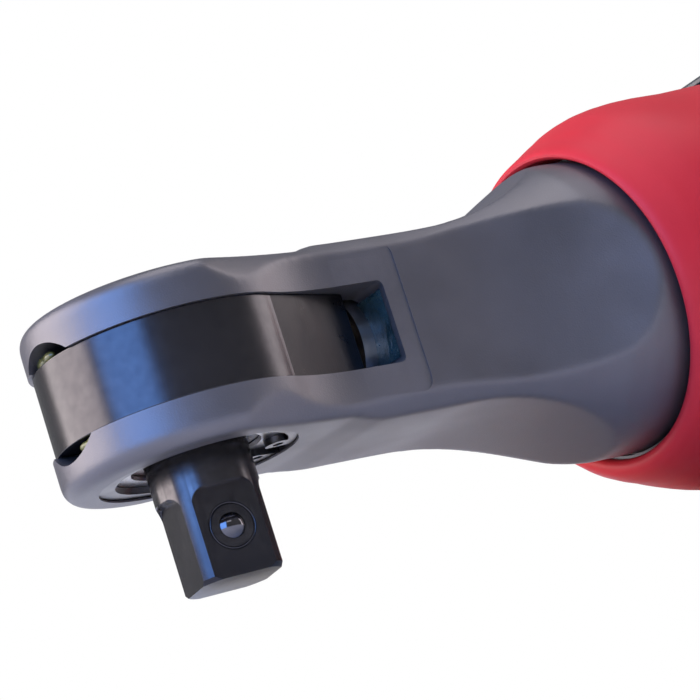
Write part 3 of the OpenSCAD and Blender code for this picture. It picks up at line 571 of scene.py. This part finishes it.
def finish_table():
    """The look of each material slot, and of the few finishes that have no slot of their own."""
    f = bpy.context.scene.ratchet_finish
    bare = (0.42, 0.41, 0.43)
    return {
        "forged_steel": dict(
            colour=tuple(f.head), metallic=0.7, rough=0.42, grain=5200.0, depth=0.022, tone=0.08,
            wear=0.3, worn=(0.20, 0.186, 0.20),
        ),
        "black_oxide": dict(
            colour=tuple(f.oxide), metallic=0.9, rough=0.24, grain=9000.0, depth=0.003, tone=0.06,
            wear=0.45, worn=(0.24, 0.22, 0.22), lines=(3400.0, 3400.0, 40.0), line_depth=0.003,
            rough_change=0.02,
        ),
        # Milled finish for the yoke fork's flanks. Its colour, less than half the oxide's, is painted shade.
        "shaded_milled_oxide": dict(
            colour=tuple(c * 0.45 for c in f.oxide), metallic=0.9, rough=0.33, grain=9000.0, depth=0.006,
            tone=0.2, tone_scale=400.0, lines=(3400.0, 3400.0, 40.0), line_depth=0.010,
        ),
        "bright_steel": dict(
            colour=(0.40, 0.39, 0.40), metallic=1.0, rough=0.30, grain=6000.0, depth=0.006,
            lines=(80.0, 3000.0, 3000.0), line_depth=0.006,
        ),
        "gear_steel": dict(
            colour=(0.33, 0.33, 0.35), metallic=1.0, rough=0.35, depth=0.01, wear=0.4, worn=bare,
        ),
        "ball_steel": dict(
            colour=(0.13, 0.125, 0.14), metallic=1.0, rough=0.10, grain=3000.0, depth=0.003, tone=0.2,
            tone_scale=900.0, rough_change=0.04,
        ),
        "bronze": dict(colour=(0.50, 0.34, 0.16), metallic=1.0, rough=0.38, depth=0.02, tone=0.2),
        "housing_metal": dict(
            colour=(0.30, 0.30, 0.32), metallic=0.9, rough=0.38, depth=0.012, wear=0.3, worn=bare,
        ),
        "nut_steel": dict(
            colour=(0.060, 0.058, 0.066), metallic=0.9, rough=0.40, grain=2500.0, depth=0.006, wear=0.2,
            lines=(3000.0, 120.0, 120.0), line_depth=0.008,
        ),
        "red_plastic": dict(
            colour=tuple(f.collar), rough=0.42, grain=4200.0, depth=0.012, tone=0.05, wear=0.12,
            worn=(0.70, 0.16, 0.18), rough_change=0.04, ior=1.22,
        ),
        "black_rubber": dict(
            colour=tuple(f.grip), rough=0.62, grain=2600.0, depth=0.05, tone=0.2, wear=0.25,
            worn=(0.07, 0.07, 0.072), sheen=0.08,
        ),
        "black_plastic": dict(
            colour=(0.022, 0.022, 0.024), rough=0.46, grain=2200.0, depth=0.035, wear=0.25,
            worn=(0.08, 0.08, 0.08),
        ),
        "lever_paint": dict(
            colour=(0.030, 0.030, 0.034), metallic=0.2, rough=0.40, grain=1400.0, depth=0.03, wear=0.5,
            worn=(0.22, 0.21, 0.21), coat=0.2,
        ),
        "cast_iron_liner": dict(colour=(0.20, 0.20, 0.21), metallic=0.8, rough=0.5, grain=2200.0, depth=0.04),
        "vane_laminate": dict(
            colour=(0.20, 0.10, 0.05), rough=0.55, lines=(90.0, 2400.0, 2400.0), line_depth=0.02,
        ),
        "seal_rubber": dict(colour=(0.016, 0.016, 0.017), rough=0.5, depth=0.01),
        "felt": dict(
            colour=(0.13, 0.15, 0.10), rough=0.95, grain=1500.0, depth=0.25, tone=0.3, tone_scale=600.0,
        ),
        "screen_brass": dict(colour=(0.46, 0.33, 0.15), metallic=1.0, rough=0.35, grain=3500.0, depth=0.03),
        # Dark steel for the retaining ring: its darkness is painted shade, in place of its slot's bright
        # steel.
        "shaded_ring_steel": dict(
            colour=(0.13, 0.125, 0.13), metallic=1.0, rough=0.34, grain=5000.0, depth=0.010, tone=0.2,
            tone_scale=300.0,
        ),
        "grease": dict(
            colour=(0.13, 0.115, 0.030), rough=0.30, grain=1100.0, depth=0.10, tone=0.35, tone_scale=700.0,
            coat=0.3, coat_rough=0.15,
        ),
        "wet_oil": dict(
            colour=(0.030, 0.060, 0.070), metallic=0.3, rough=0.10, grain=900.0, depth=0.22, tone=0.5,
            tone_scale=500.0, coat=1.0, coat_rough=0.03, rough_change=0.06,
        ),
    }


def finish(slot):
    """The material of a slot, made when it is first asked for."""
    name = slot.replace("_", " ").title()
    if name not in bpy.data.materials:
        make_finish(name, **finish_table()[slot])
    return bpy.data.materials[name]


# ---------------------------------------------------------------- the head

EAR_R, EAR_T, EAR_ROUND = 15.5, 10.03, 1.9  # radius, half thickness and rounded rim of the ears
SLOT_H, SLOT_BACK = 4.97, 23.7  # half height of the slot, and its back wall
NECK_Y, NECK_R = 11.4, 18.3  # half width of the neck's waist, and its radius at the collar
FLANGE = 63.5  # where the neck ends
PLAN_END, SIDE_END = FLANGE + 2, FLANGE + 4  # past the neck's end, which the turned solid gives
PAD_START = 17.5
PAD_END = 26.2

HEAD_BORES = (  # name, radius, start, end, axis, sides
    ("crank_bore", 6.9, -30, 56, "X", 96),
    ("bearing_bore", 11, 54.5, 65.5, "X", 96),
    ("carrier_bore", 14.05, 65.4, 80, "X", 96),
    ("anvil_hole", 11.69, -12, 0, "Z", 160),
    ("clip_groove", 12.39, -9.8, -8.8, "Z", 160),
    ("journal_hole", 8.05, 0, 9, "Z", 128),
    ("knob_well", 9.3, 8.25, 14, "Z", 128),
)


def head_plan():
    """Half outline of the head from above, mirrored: round ears, hollow flanks and a flare."""
    fillet, waist, flare = 25.0, NECK_Y, 44.0
    fx = math.sqrt((EAR_R + fillet) ** 2 - (waist + fillet) ** 2)
    fy = waist + fillet
    meet = math.degrees(math.atan2(fy, fx))
    upper = arc(0, 0, EAR_R, 180, meet, 40)
    upper += arc(fx, fy, fillet, 180 + meet, 270, 14)[1:]
    upper += arc(34, waist + flare, flare, 270, 270 + 42, 22)
    upper = [p for p in upper if p[0] <= FLANGE] + [(PLAN_END, 24)]
    return upper + [(x, -y) for x, y in reversed(upper[1:])]


def head_side():
    """Outline of the head from the side: flat ears, short ramps and a flare."""
    waist, flare = 10.75, 38.0
    top = [(-18, EAR_T), (14, EAR_T), (15.6, EAR_T + 0.5), (17.2, waist)]
    low = [(-18, EAR_T), (15, EAR_T), (17.2, EAR_T + 0.4), (19.4, waist)]
    bell = [p for p in arc(32, waist + flare, flare, 270, 270 + 44, 22) if p[0] <= FLANGE] + [(SIDE_END, 24)]
    return top + bell + [(x, -z) for x, z in reversed(low + bell)]


def head_turned():
    """The long edges of the head, turned about the tool axis."""
    waist, front, back = 14.4, 83.0, 95.0
    nose = arc(22, waist + front, front, 270 - 28, 270, 18)
    tail = [p for p in arc(26.5, waist + back, back, 270, 270 + 18, 16) if p[1] < NECK_R]
    end = [(55.4, NECK_R), (FLANGE, NECK_R)]
    start = [(-17, 0), (-17, nose[0][1])]
    return start + [p for p in nose if p[0] > -17] + tail + end + [(FLANGE, 0)]


def head_nose():
    """The rounded rim of the ears, turned about the drive axis; it lets the neck through."""
    z, r, e = EAR_T, EAR_R + 0.02, EAR_ROUND
    rim = arc(r - e, -z + e, e, 270, 360, 8) + arc(r - e, z - e, e, 0, 90, 8)
    return [(0, -z)] + rim + [(0, z)]


def slot_tool():
    """The block that cuts the open slot, with its back corners rounded."""
    slot = solid_box((-30, -30, -SLOT_H), (SLOT_BACK, 30, SLOT_H))
    rear = [
        e for e in slot.edges
        if abs((e.verts[0].co - e.verts[1].co).normalized().y) > 0.9 and e.verts[0].co.x > 0
    ]
    bmesh.ops.bevel(
        slot, geom=rear, offset=0.8 * MM, offset_type="OFFSET", segments=5, profile=0.5,
        affect="EDGES", material=-1,
    )
    return slot


def pad_tool(flank, step):
    """The cutter of one milled pad, which goes in deeper towards its rear edge."""
    half = 3
    pad = drawn_solid(pad_outline(), "Y", half)
    bmesh.ops.translate(pad, vec=(0, flank * (NECK_Y + half) * MM, 0), verts=pad.verts)
    lean = Matrix.Rotation(-flank * step / (PAD_END - PAD_START), 3, "Z")
    bmesh.ops.rotate(pad, cent=mm(PAD_START, flank * NECK_Y, 0), matrix=lean, verts=pad.verts)
    return pad


def build_head():
    """The forged body of the head: outlines trimmed by each other, skinned, softened and then bored."""
    settings = bpy.context.scene.ratchet_head
    head = blank("head_plan", drawn_solid(head_plan(), "Z", 26))
    nose = combine(
        blank("head_nose", spun(head_nose(), "Z", 160)),
        [blank("head_neck", solid_box((6.5, -30, -30), (70, 30, 30)))], "UNION",
    )
    combine(head, [blank("head_side", drawn_solid(head_side(), "Y", 26))], "INTERSECT")
    combine(head, [blank("head_turned", spun(head_turned(), "X", 128))], "INTERSECT")
    combine(head, [nose], "INTERSECT")
    bm = worked(skin_over(head, settings.voxel))
    forged = [v for v in bm.verts if v.co.x < (FLANGE - 1.5) * MM]
    smooth_spots(bm, forged, settings.soften)
    head = combine(
        blank("head", bm),
        [
            blank("flange", solid_rod(19.96, FLANGE, FLANGE + 3.5)),
            blank("spigot", solid_rod(17.49, FLANGE + 3.4, FLANGE + 6)),
        ],
        "UNION",
    )
    cuts = [blank("slot", slot_tool())]
    cuts += [blank(name, solid_rod(*size)) for name, *size in HEAD_BORES]
    cuts += [blank("pad", pad_tool(flank, settings.pad_step)) for flank in (-1, 1)]
    for cut in cuts:
        combine(head, [cut], "DIFFERENCE")
    bm = worked(head)
    bmesh.ops.remove_doubles(bm, verts=bm.verts, dist=0.004 * MM)
    bmesh.ops.dissolve_degenerate(bm, edges=bm.edges, dist=0.004 * MM)
    return bm


def pad_outline():
    """The milled pad on each flank, round the open slot."""
    corner, top, low = 1.6, 9.4, -8.8
    outline = [(PAD_START, low), (PAD_END - corner, low)]
    outline += arc(PAD_END - corner, low + corner, corner, 270, 360, 6)[1:]
    outline += arc(PAD_END - corner, top - corner, corner, 0, 90, 6)
    return outline + [(PAD_START, top)]


# ---------------------------------------------------------------- operators


class RATCHET_OT_head(bpy.types.Operator):
    """Builds the forged head with its open slot, ears and flared neck"""

    bl_idname = "ratchet.head"
    bl_label = "Head"

    def execute(self, context):
        add_piece("forged_head", build_head(), "forged_steel", "tool_body", ["ratchet_head"])
        return {"FINISHED"}


class RATCHET_OT_yoke(bpy.types.Operator):
    """Builds the swinging yoke, with a ground rim and a milled fork whose darker finish is painted shade"""

    bl_idname = "ratchet.yoke"
    bl_label = "Yoke"

    def execute(self, context):
        rim, fork = 14 * MM, 6 * MM
        yoke = refine(
            "yoke", "swinging_yoke", context.scene.ratchet_head.machined_edge, 50, 2,
            keep=lambda e: all(v.co.xy.length > rim for v in e.verts),
        )
        yoke.data.materials.append(finish("shaded_milled_oxide"))
        # The fork's flank faces, not its ground rim, get the darker finish, which is painted shade.
        for face in yoke.data.polygons:
            ground = face.normal.xy.dot(face.center.xy.normalized()) > 0.97
            if face.center.x > fork and abs(face.normal.z) < 0.5 and not ground:
                face.material_index = 1
        return {"FINISHED"}


class RATCHET_OT_drive(bpy.types.Operator):
    """Builds the drive square with its broken edges, and its detent ball"""

    bl_idname = "ratchet.drive"
    bl_label = "Drive Square"

    def execute(self, context):
        shank_top = 13.4 * MM
        refine("anvil", "drive_anvil", 0.28, 24, 3, keep=lambda e: all(v.co.z < shank_top for v in e.verts))
        ball = bmesh.new()
        low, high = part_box("detent_ball")
        bmesh.ops.create_icosphere(ball, subdivisions=4, radius=(high.x - low.x) / 2)
        bmesh.ops.translate(ball, vec=(low + high) / 2, verts=ball.verts)
        add_piece("socket_ball", ball, "ball_steel", "detent_ball", ["detent_ball"])
        return {"FINISHED"}


class RATCHET_OT_knob(bpy.types.Operator):
    """Builds the reversing knob on top of the head"""

    bl_idname = "ratchet.knob"
    bl_label = "Reversing Knob"

    def execute(self, context):
        grip_foot = 31.5 * MM
        refine(
            "reverse_knob", "knurled_knob", 0.15, 35, 2,
            keep=lambda e: all(v.co.z > grip_foot for v in e.verts),
        )
        return {"FINISHED"}


class RATCHET_OT_grease(bpy.types.Operator):
    """Adds the grease in the nose of the head and the oil film on the slot's back wall"""

    bl_idname = "ratchet.grease"
    bl_label = "Grease"

    def execute(self, context):
        blobs = bmesh.new()
        for centre, half in GREASE_SPOTS:
            blob = bmesh.ops.create_icosphere(blobs, subdivisions=3, radius=1.0)
            bmesh.ops.scale(blobs, vec=Vector(half) * MM, verts=blob["verts"])
            bmesh.ops.translate(blobs, vec=mm(*centre), verts=blob["verts"])
        bm = worked(skin_over(blank("grease", blobs), 0.16))
        smooth_spots(bm, bm.verts, 3)
        add_piece("nose_grease", bm, "grease", "tool_body")
        add_piece("slot_oil", oil_film(), "wet_oil", "tool_body")
        return {"FINISHED"}


class RATCHET_OT_collar(bpy.types.Operator):
    """Builds the red front collar with its rolled, leaning lip"""

    bl_idname = "ratchet.collar"
    bl_label = "Front Collar"

    def execute(self, context):
        add_piece("red_collar", build_collar(), "red_plastic", "tool_body", ["front_collar"])
        return {"FINISHED"}


class RATCHET_OT_grip(bpy.types.Operator):
    """Builds the ribbed rubber grip"""

    bl_idname = "ratchet.grip"
    bl_label = "Grip"

    def execute(self, context):
        refine("grip_sleeve", "rubber_grip", 0.35, 28, 2)
        return {"FINISHED"}


class RATCHET_OT_lever(bpy.types.Operator):
    """Builds the throttle lever"""

    bl_idname = "ratchet.lever"
    bl_label = "Throttle Lever"

    def execute(self, context):
        refine("throttle_lever", "painted_lever", 0.55, 30, 3)
        return {"FINISHED"}


class RATCHET_OT_rear(bpy.types.Operator):
    """Builds the exhaust deflector and the hexagonal air inlet"""

    bl_idname = "ratchet.rear"
    bl_label = "Exhaust And Inlet"

    def execute(self, context):
        refine("exhaust_deflector", "louvred_deflector", 0.3, 32, 2)
        refine("inlet_bushing", "hex_inlet", 0.25, 32, 2)
        return {"FINISHED"}


class RATCHET_OT_inner(bpy.types.Operator):
    """Gives every part that keeps its own shape the finish of its slot; the retaining ring gets a darker
    steel, which is painted shade
    """

    bl_idname = "ratchet.inner"
    bl_label = "Inner Parts"

    def execute(self, context):
        for node, part in NODES.items():
            for place in part.material_slots:
                # The retaining ring is darkened as painted shade; every other part keeps its slot's finish.
                place.material = finish("shaded_ring_steel" if node == "retaining_ring" else SLOT_OF[node])
        return {"FINISHED"}


class RATCHET_OT_spring(bpy.types.Operator):
    """Winds the valve spring as one fixed coil, though the real spring shortens as the lever opens the valve
    """

    bl_idname = "ratchet.spring"
    bl_label = "Valve Spring"

    def execute(self, context):
        wire, turns, steps = 0.3 * MM, 7, 36
        low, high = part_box("valve_spring")
        middle = (low + high) / 2
        radius = (high.x - low.x) / 2 - wire
        rise = high.z - low.z - 2 * wire
        bm = bmesh.new()
        start = bmesh.ops.create_circle(bm, segments=10, radius=wire)["verts"]
        bmesh.ops.rotate(bm, cent=(0, 0, 0), matrix=Matrix.Rotation(math.pi / 2, 3, "X"), verts=start)
        bmesh.ops.translate(bm, vec=(middle.x + radius, middle.y, low.z + wire), verts=start)
        bmesh.ops.spin(
            bm, geom=bm.verts[:] + bm.edges[:], cent=(middle.x, middle.y, low.z), axis=Z_AXIS,
            dvec=(0, 0, rise / (turns * steps)), angle=turns * math.tau, steps=turns * steps, use_merge=False,
        )
        bmesh.ops.holes_fill(bm, edges=[e for e in bm.edges if e.is_boundary], sides=0)
        turn_outward(bm)
        coil = add_piece("valve_coil", bm, SLOT_OF["valve_spring"], "tool_body", ["valve_spring"])
        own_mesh(coil)
        return {"FINISHED"}


GREASE_SPOTS = (  # centre and half sizes of each lump, in millimetres
    ((-13.2, 3.2, 5.7), (0.8, 1.5, 0.8)),
    ((-13.0, 4.7, 5.6), (0.7, 1.0, 0.6)),
    ((-13.5, 1.4, 5.8), (0.6, 1.2, 0.6)),
    ((-13.7, -3.2, -5.5), (0.8, 1.3, 0.6)),
    ((-13.4, -4.6, -5.4), (0.7, 0.8, 0.5)),
    ((-14.0, -1.6, -5.6), (0.6, 1.2, 0.5)),
)


def oil_film():
    """A thin film just in front of the slot's back wall."""
    width, height, stand_off = 21.0, 8.2, 0.10
    bm = bmesh.new()
    bmesh.ops.create_grid(bm, x_segments=60, y_segments=26, size=0.5)
    turn = Matrix.Rotation(math.pi / 2, 3, "Y")
    bmesh.ops.rotate(bm, cent=(0, 0, 0), matrix=turn, verts=bm.verts)
    bmesh.ops.scale(bm, vec=(1, width * MM, height * MM), verts=bm.verts)
    bmesh.ops.translate(bm, vec=mm(SLOT_BACK - stand_off, 0, 0), verts=bm.verts)
    return bm


def collar_rings():
    """Radius, station at the top and station at the bottom of each ring, from the lip back and round."""
    lean = bpy.context.scene.ratchet_handle.collar_lean
    roll = bpy.context.scene.ratchet_handle.lip_roll
    lip, nut, seat = NECK_R + 0.5, 61.7, 20.2
    shift = (lean - NEUTRAL_LEAN) / 3
    rolled = [
        (lip, 57.4, 61.9), (lip, 56.9, 61.5), (lip + 0.12, 56.45, 61.1), (lip + 0.34, 56.2, 60.85),
        (lip + 0.62, 56.15, 60.7), (lip + 0.95, 56.35, 60.65), (lip + 1.3, 56.8, 60.7),
        (lip + 1.6, 57.35, 60.82), (lip + 1.6 + roll * 0.3, 58.1, 61.1),
    ]
    shoulder = [
        (lip + 2.4, 59.0, 61.8), (21.6, 59.6, 62.5), (22.2, 60.7, 64.2), (22.7, 61.8, 66.1),
        (23.2, 62.6, 67.6), (23.6, 63.6, 69.0), (24.05, 65.0, 70.7), (24.4, 66.7, 72.2),
        (24.7, 69.0, 73.9), (24.86, 71.5, 75.5), (24.95, 76.0, 78.0), (25.2, 79.6, 80.4),
        (25.4, 82.4, 82.4), (25.3, 86.0, 86.0), (24.6, 90.4, 90.4), (23.7, 93.6, 93.6),
        (23.1, 95.4, 95.4), (22.9, 96.0, 96.0), (22.4, 96.2, 96.2),
    ]
    inside = [
        (seat, 96.2, 96.2), (seat, 75.6, 75.6), (22.2, 75.6, 75.6), (22.2, 67.7, 67.7), (20.5, nut, nut),
        (lip, nut, nut + 0.3),
    ]
    tilted = [(r, top - shift, low + shift) for r, top, low in rolled]
    return tilted + shoulder + inside


def build_collar():
    """The collar's rings joined in a closed shell, flattened where it rests, with the lever's pocket."""
    bm = bmesh.new()
    steps = 160
    rounds = []
    for r, top, low in collar_rings():
        ring = bmesh.ops.create_circle(bm, segments=steps, radius=r * MM)["verts"]
        bmesh.ops.rotate(bm, cent=(0, 0, 0), matrix=Matrix.Rotation(math.pi / 2, 3, "Y"), verts=ring)
        for v in ring:
            height = 0.5 + 0.5 * v.co.z / (r * MM)
            v.co.x = (low + (top - low) * max(0.0, height)) * MM
            v.co.z = (max(v.co.z / MM, -REST) + UP) * MM
        rounds.append(list({e for v in ring for e in v.link_edges}))
    for first, second in zip(rounds, rounds[1:] + rounds[:1]):
        bmesh.ops.bridge_loops(bm, edges=first + second)
    turn_outward(bm)
    collar = blank("collar", bm)
    pocket = solid_box((83, -10.5, 18.16), (130, 10.5, 60))
    upright = [e for e in pocket.edges if abs((e.verts[0].co - e.verts[1].co).normalized().z) > 0.9]
    bmesh.ops.bevel(
        pocket, geom=upright, offset=1.6 * MM, offset_type="OFFSET", segments=4, profile=0.5,
        affect="EDGES", material=-1,
    )
    combine(collar, [blank("pocket", pocket)], "DIFFERENCE")
    return worked(collar)


AIM = (24.393, 0, 0.246)  # what the camera looks at, in millimetres from the tool axis
CAMERA_TURN, CAMERA_RISE, CAMERA_ROLL = -34.608, -11.485, -17.874  # in degrees


class RATCHET_OT_stage(bpy.types.Operator):
    """Sets the floor, the lights, the camera and the white surround"""

    bl_idname = "ratchet.stage"
    bl_label = "Studio"

    def execute(self, context):
        settings = context.scene.ratchet_studio
        right, up, back = camera_axes()
        target = mm(*AIM)
        camera = bpy.data.objects.new("Camera", bpy.data.cameras.new("Camera"))
        camera.data.lens = settings.lens
        camera.data.sensor_width = 36
        camera.data.clip_start = 0.01
        place = Matrix((right, up, back)).transposed().to_4x4()
        place.translation = target + back * settings.distance
        camera.matrix_world = place
        context.scene.collection.objects.link(camera)
        context.scene.camera = camera
        add_floor()
        for lamp in STUDIO_LIGHTS:
            add_lamp(target, settings.light, *lamp)
        white_surround()
        context.scene.view_settings.view_transform = "Standard"
        return {"FINISHED"}


def camera_axes():
    """Right, up and back of the camera, with its small roll."""
    turn, rise, roll = (math.radians(a) for a in (CAMERA_TURN, CAMERA_RISE, CAMERA_ROLL))
    back = Vector((math.sin(turn) * math.cos(rise), -math.cos(turn) * math.cos(rise), math.sin(rise)))
    level = Vector((math.cos(turn), math.sin(turn), 0))
    upright = back.cross(level)
    right = math.cos(roll) * level + math.sin(roll) * upright
    return right, back.cross(right), back


STUDIO_LIGHTS = (  # name, azimuth and height in degrees, distance and size in metres, glow, colour
    ("Warm Key", 146, 18, 0.85, (0.85, 1.10), 5.0, (1.0, 0.93, 0.89)),
    ("Blue Side", -157, 16, 0.85, (0.66, 1.10), 6.5, (0.14, 0.37, 0.95)),
    ("Right Strip", -12, 16, 0.90, (0.45, 0.90), 3.2, (1.0, 0.93, 0.92)),
    ("Top", -60, 78, 0.90, (0.90, 0.60), 2.4, (1.0, 0.98, 0.97)),
    ("Front Fill", -110, 40, 1.00, (0.50, 0.35), 1.6, (0.92, 0.95, 1.0)),
)


def add_lamp(target, strength, name, azimuth, height, distance, size, glow, colour):
    """A soft box that faces the tool. Its power grows with its area, so glow is its brightness."""
    lamp = bpy.data.lights.new(name, "AREA")
    lamp.shape = "RECTANGLE"
    lamp.size, lamp.size_y = size
    lamp.energy = glow * math.pi * size[0] * size[1] * strength
    lamp.color = colour
    thing = bpy.data.objects.new(name, lamp)
    turn, rise = math.radians(azimuth), math.radians(height)
    way = Vector((math.cos(turn) * math.cos(rise), math.sin(turn) * math.cos(rise), math.sin(rise)))
    thing.location = target + way * distance
    thing.rotation_euler = way.to_track_quat("Z", "Y").to_euler()
    thing.visible_camera = False
    bpy.context.scene.collection.objects.link(thing)


def add_floor():
    """A pale floor under the tool. It is seen from above only, so that a low view looks past it."""
    half, below = 1.5, 0.1 * MM
    bm = bmesh.new()
    bmesh.ops.create_grid(bm, x_segments=1, y_segments=1, size=half)
    bmesh.ops.translate(bm, vec=(0.1, 0, CAD_BOX[0][2] - below), verts=bm.verts)
    mesh = bpy.data.meshes.new("floor")
    bm.to_mesh(mesh)
    bm.free()
    floor = bpy.data.objects.new("floor", mesh)
    bpy.context.scene.collection.objects.link(floor)
    material = bpy.data.materials.new("Pale Floor")
    material.use_nodes = True
    tree = material.node_tree
    shader = tree.nodes["Principled BSDF"]
    shader.inputs["Base Color"].default_value = (0.86, 0.86, 0.86, 1)
    shader.inputs["Roughness"].default_value = 0.8
    side = tree.nodes.new("ShaderNodeNewGeometry")
    clear = tree.nodes.new("ShaderNodeBsdfTransparent")
    mix = tree.nodes.new("ShaderNodeMixShader")
    tree.links.new(side.outputs["Backfacing"], mix.inputs["Fac"])
    tree.links.new(shader.outputs["BSDF"], mix.inputs[1])
    tree.links.new(clear.outputs["BSDF"], mix.inputs[2])
    tree.links.new(mix.outputs["Shader"], tree.nodes["Material Output"].inputs["Surface"])
    mesh.materials.append(material)


def white_surround():
    """White behind the tool and softer light on it."""
    world = bpy.data.worlds.new("Studio")
    bpy.context.scene.world = world
    world.use_nodes = True
    tree = world.node_tree
    glow = tree.nodes["Background"]
    glow.inputs["Color"].default_value = (0.95, 0.97, 1.0, 1)
    glow.inputs["Strength"].default_value = 0.24
    seen = tree.nodes.new("ShaderNodeBackground")
    seen.inputs["Color"].default_value = (1, 1, 1, 1)
    seen.inputs["Strength"].default_value = 1.0
    path = tree.nodes.new("ShaderNodeLightPath")
    mix = tree.nodes.new("ShaderNodeMixShader")
    tree.links.new(path.outputs["Is Camera Ray"], mix.inputs["Fac"])
    tree.links.new(glow.outputs[0], mix.inputs[1])
    tree.links.new(seen.outputs[0], mix.inputs[2])
    tree.links.new(mix.outputs[0], tree.nodes["World Output"].inputs["Surface"])


# ---------------------------------------------------------------- add-on


class RATCHET_PT_panel(bpy.types.Panel):
    """Lists the builders of the air ratchet"""

    bl_idname = "RATCHET_PT_panel"
    bl_label = "Air Ratchet"
    bl_space_type = "VIEW_3D"
    bl_region_type = "UI"
    bl_category = "Ratchet"

    def draw(self, context):
        for step in STEPS:
            self.layout.operator(step.bl_idname)
        for group in SETTINGS:
            settings = getattr(context.scene, group)
            for name in settings.__annotations__:
                self.layout.prop(settings, name)


STEPS = (
    RATCHET_OT_inner, RATCHET_OT_head, RATCHET_OT_yoke, RATCHET_OT_drive, RATCHET_OT_knob,
    RATCHET_OT_spring, RATCHET_OT_grease, RATCHET_OT_collar, RATCHET_OT_grip, RATCHET_OT_lever,
    RATCHET_OT_rear, RATCHET_OT_stage,
)
SETTINGS = {
    "ratchet_head": HeadSettings,
    "ratchet_handle": HandleSettings,
    "ratchet_finish": FinishSettings,
    "ratchet_studio": StudioSettings,
}


def register():
    for kind in (*SETTINGS.values(), *STEPS, RATCHET_PT_panel):
        bpy.utils.register_class(kind)
    for name, kind in SETTINGS.items():
        setattr(bpy.types.Scene, name, PointerProperty(type=kind))


def unregister():
    for name in SETTINGS:
        delattr(bpy.types.Scene, name)
    for kind in reversed((*SETTINGS.values(), *STEPS, RATCHET_PT_panel)):
        bpy.utils.unregister_class(kind)


def main():
    register()
    for step in STEPS:
        area, name = step.bl_idname.split(".")
        getattr(getattr(bpy.ops, area), name)()


if __name__ == "__main__":
    main()
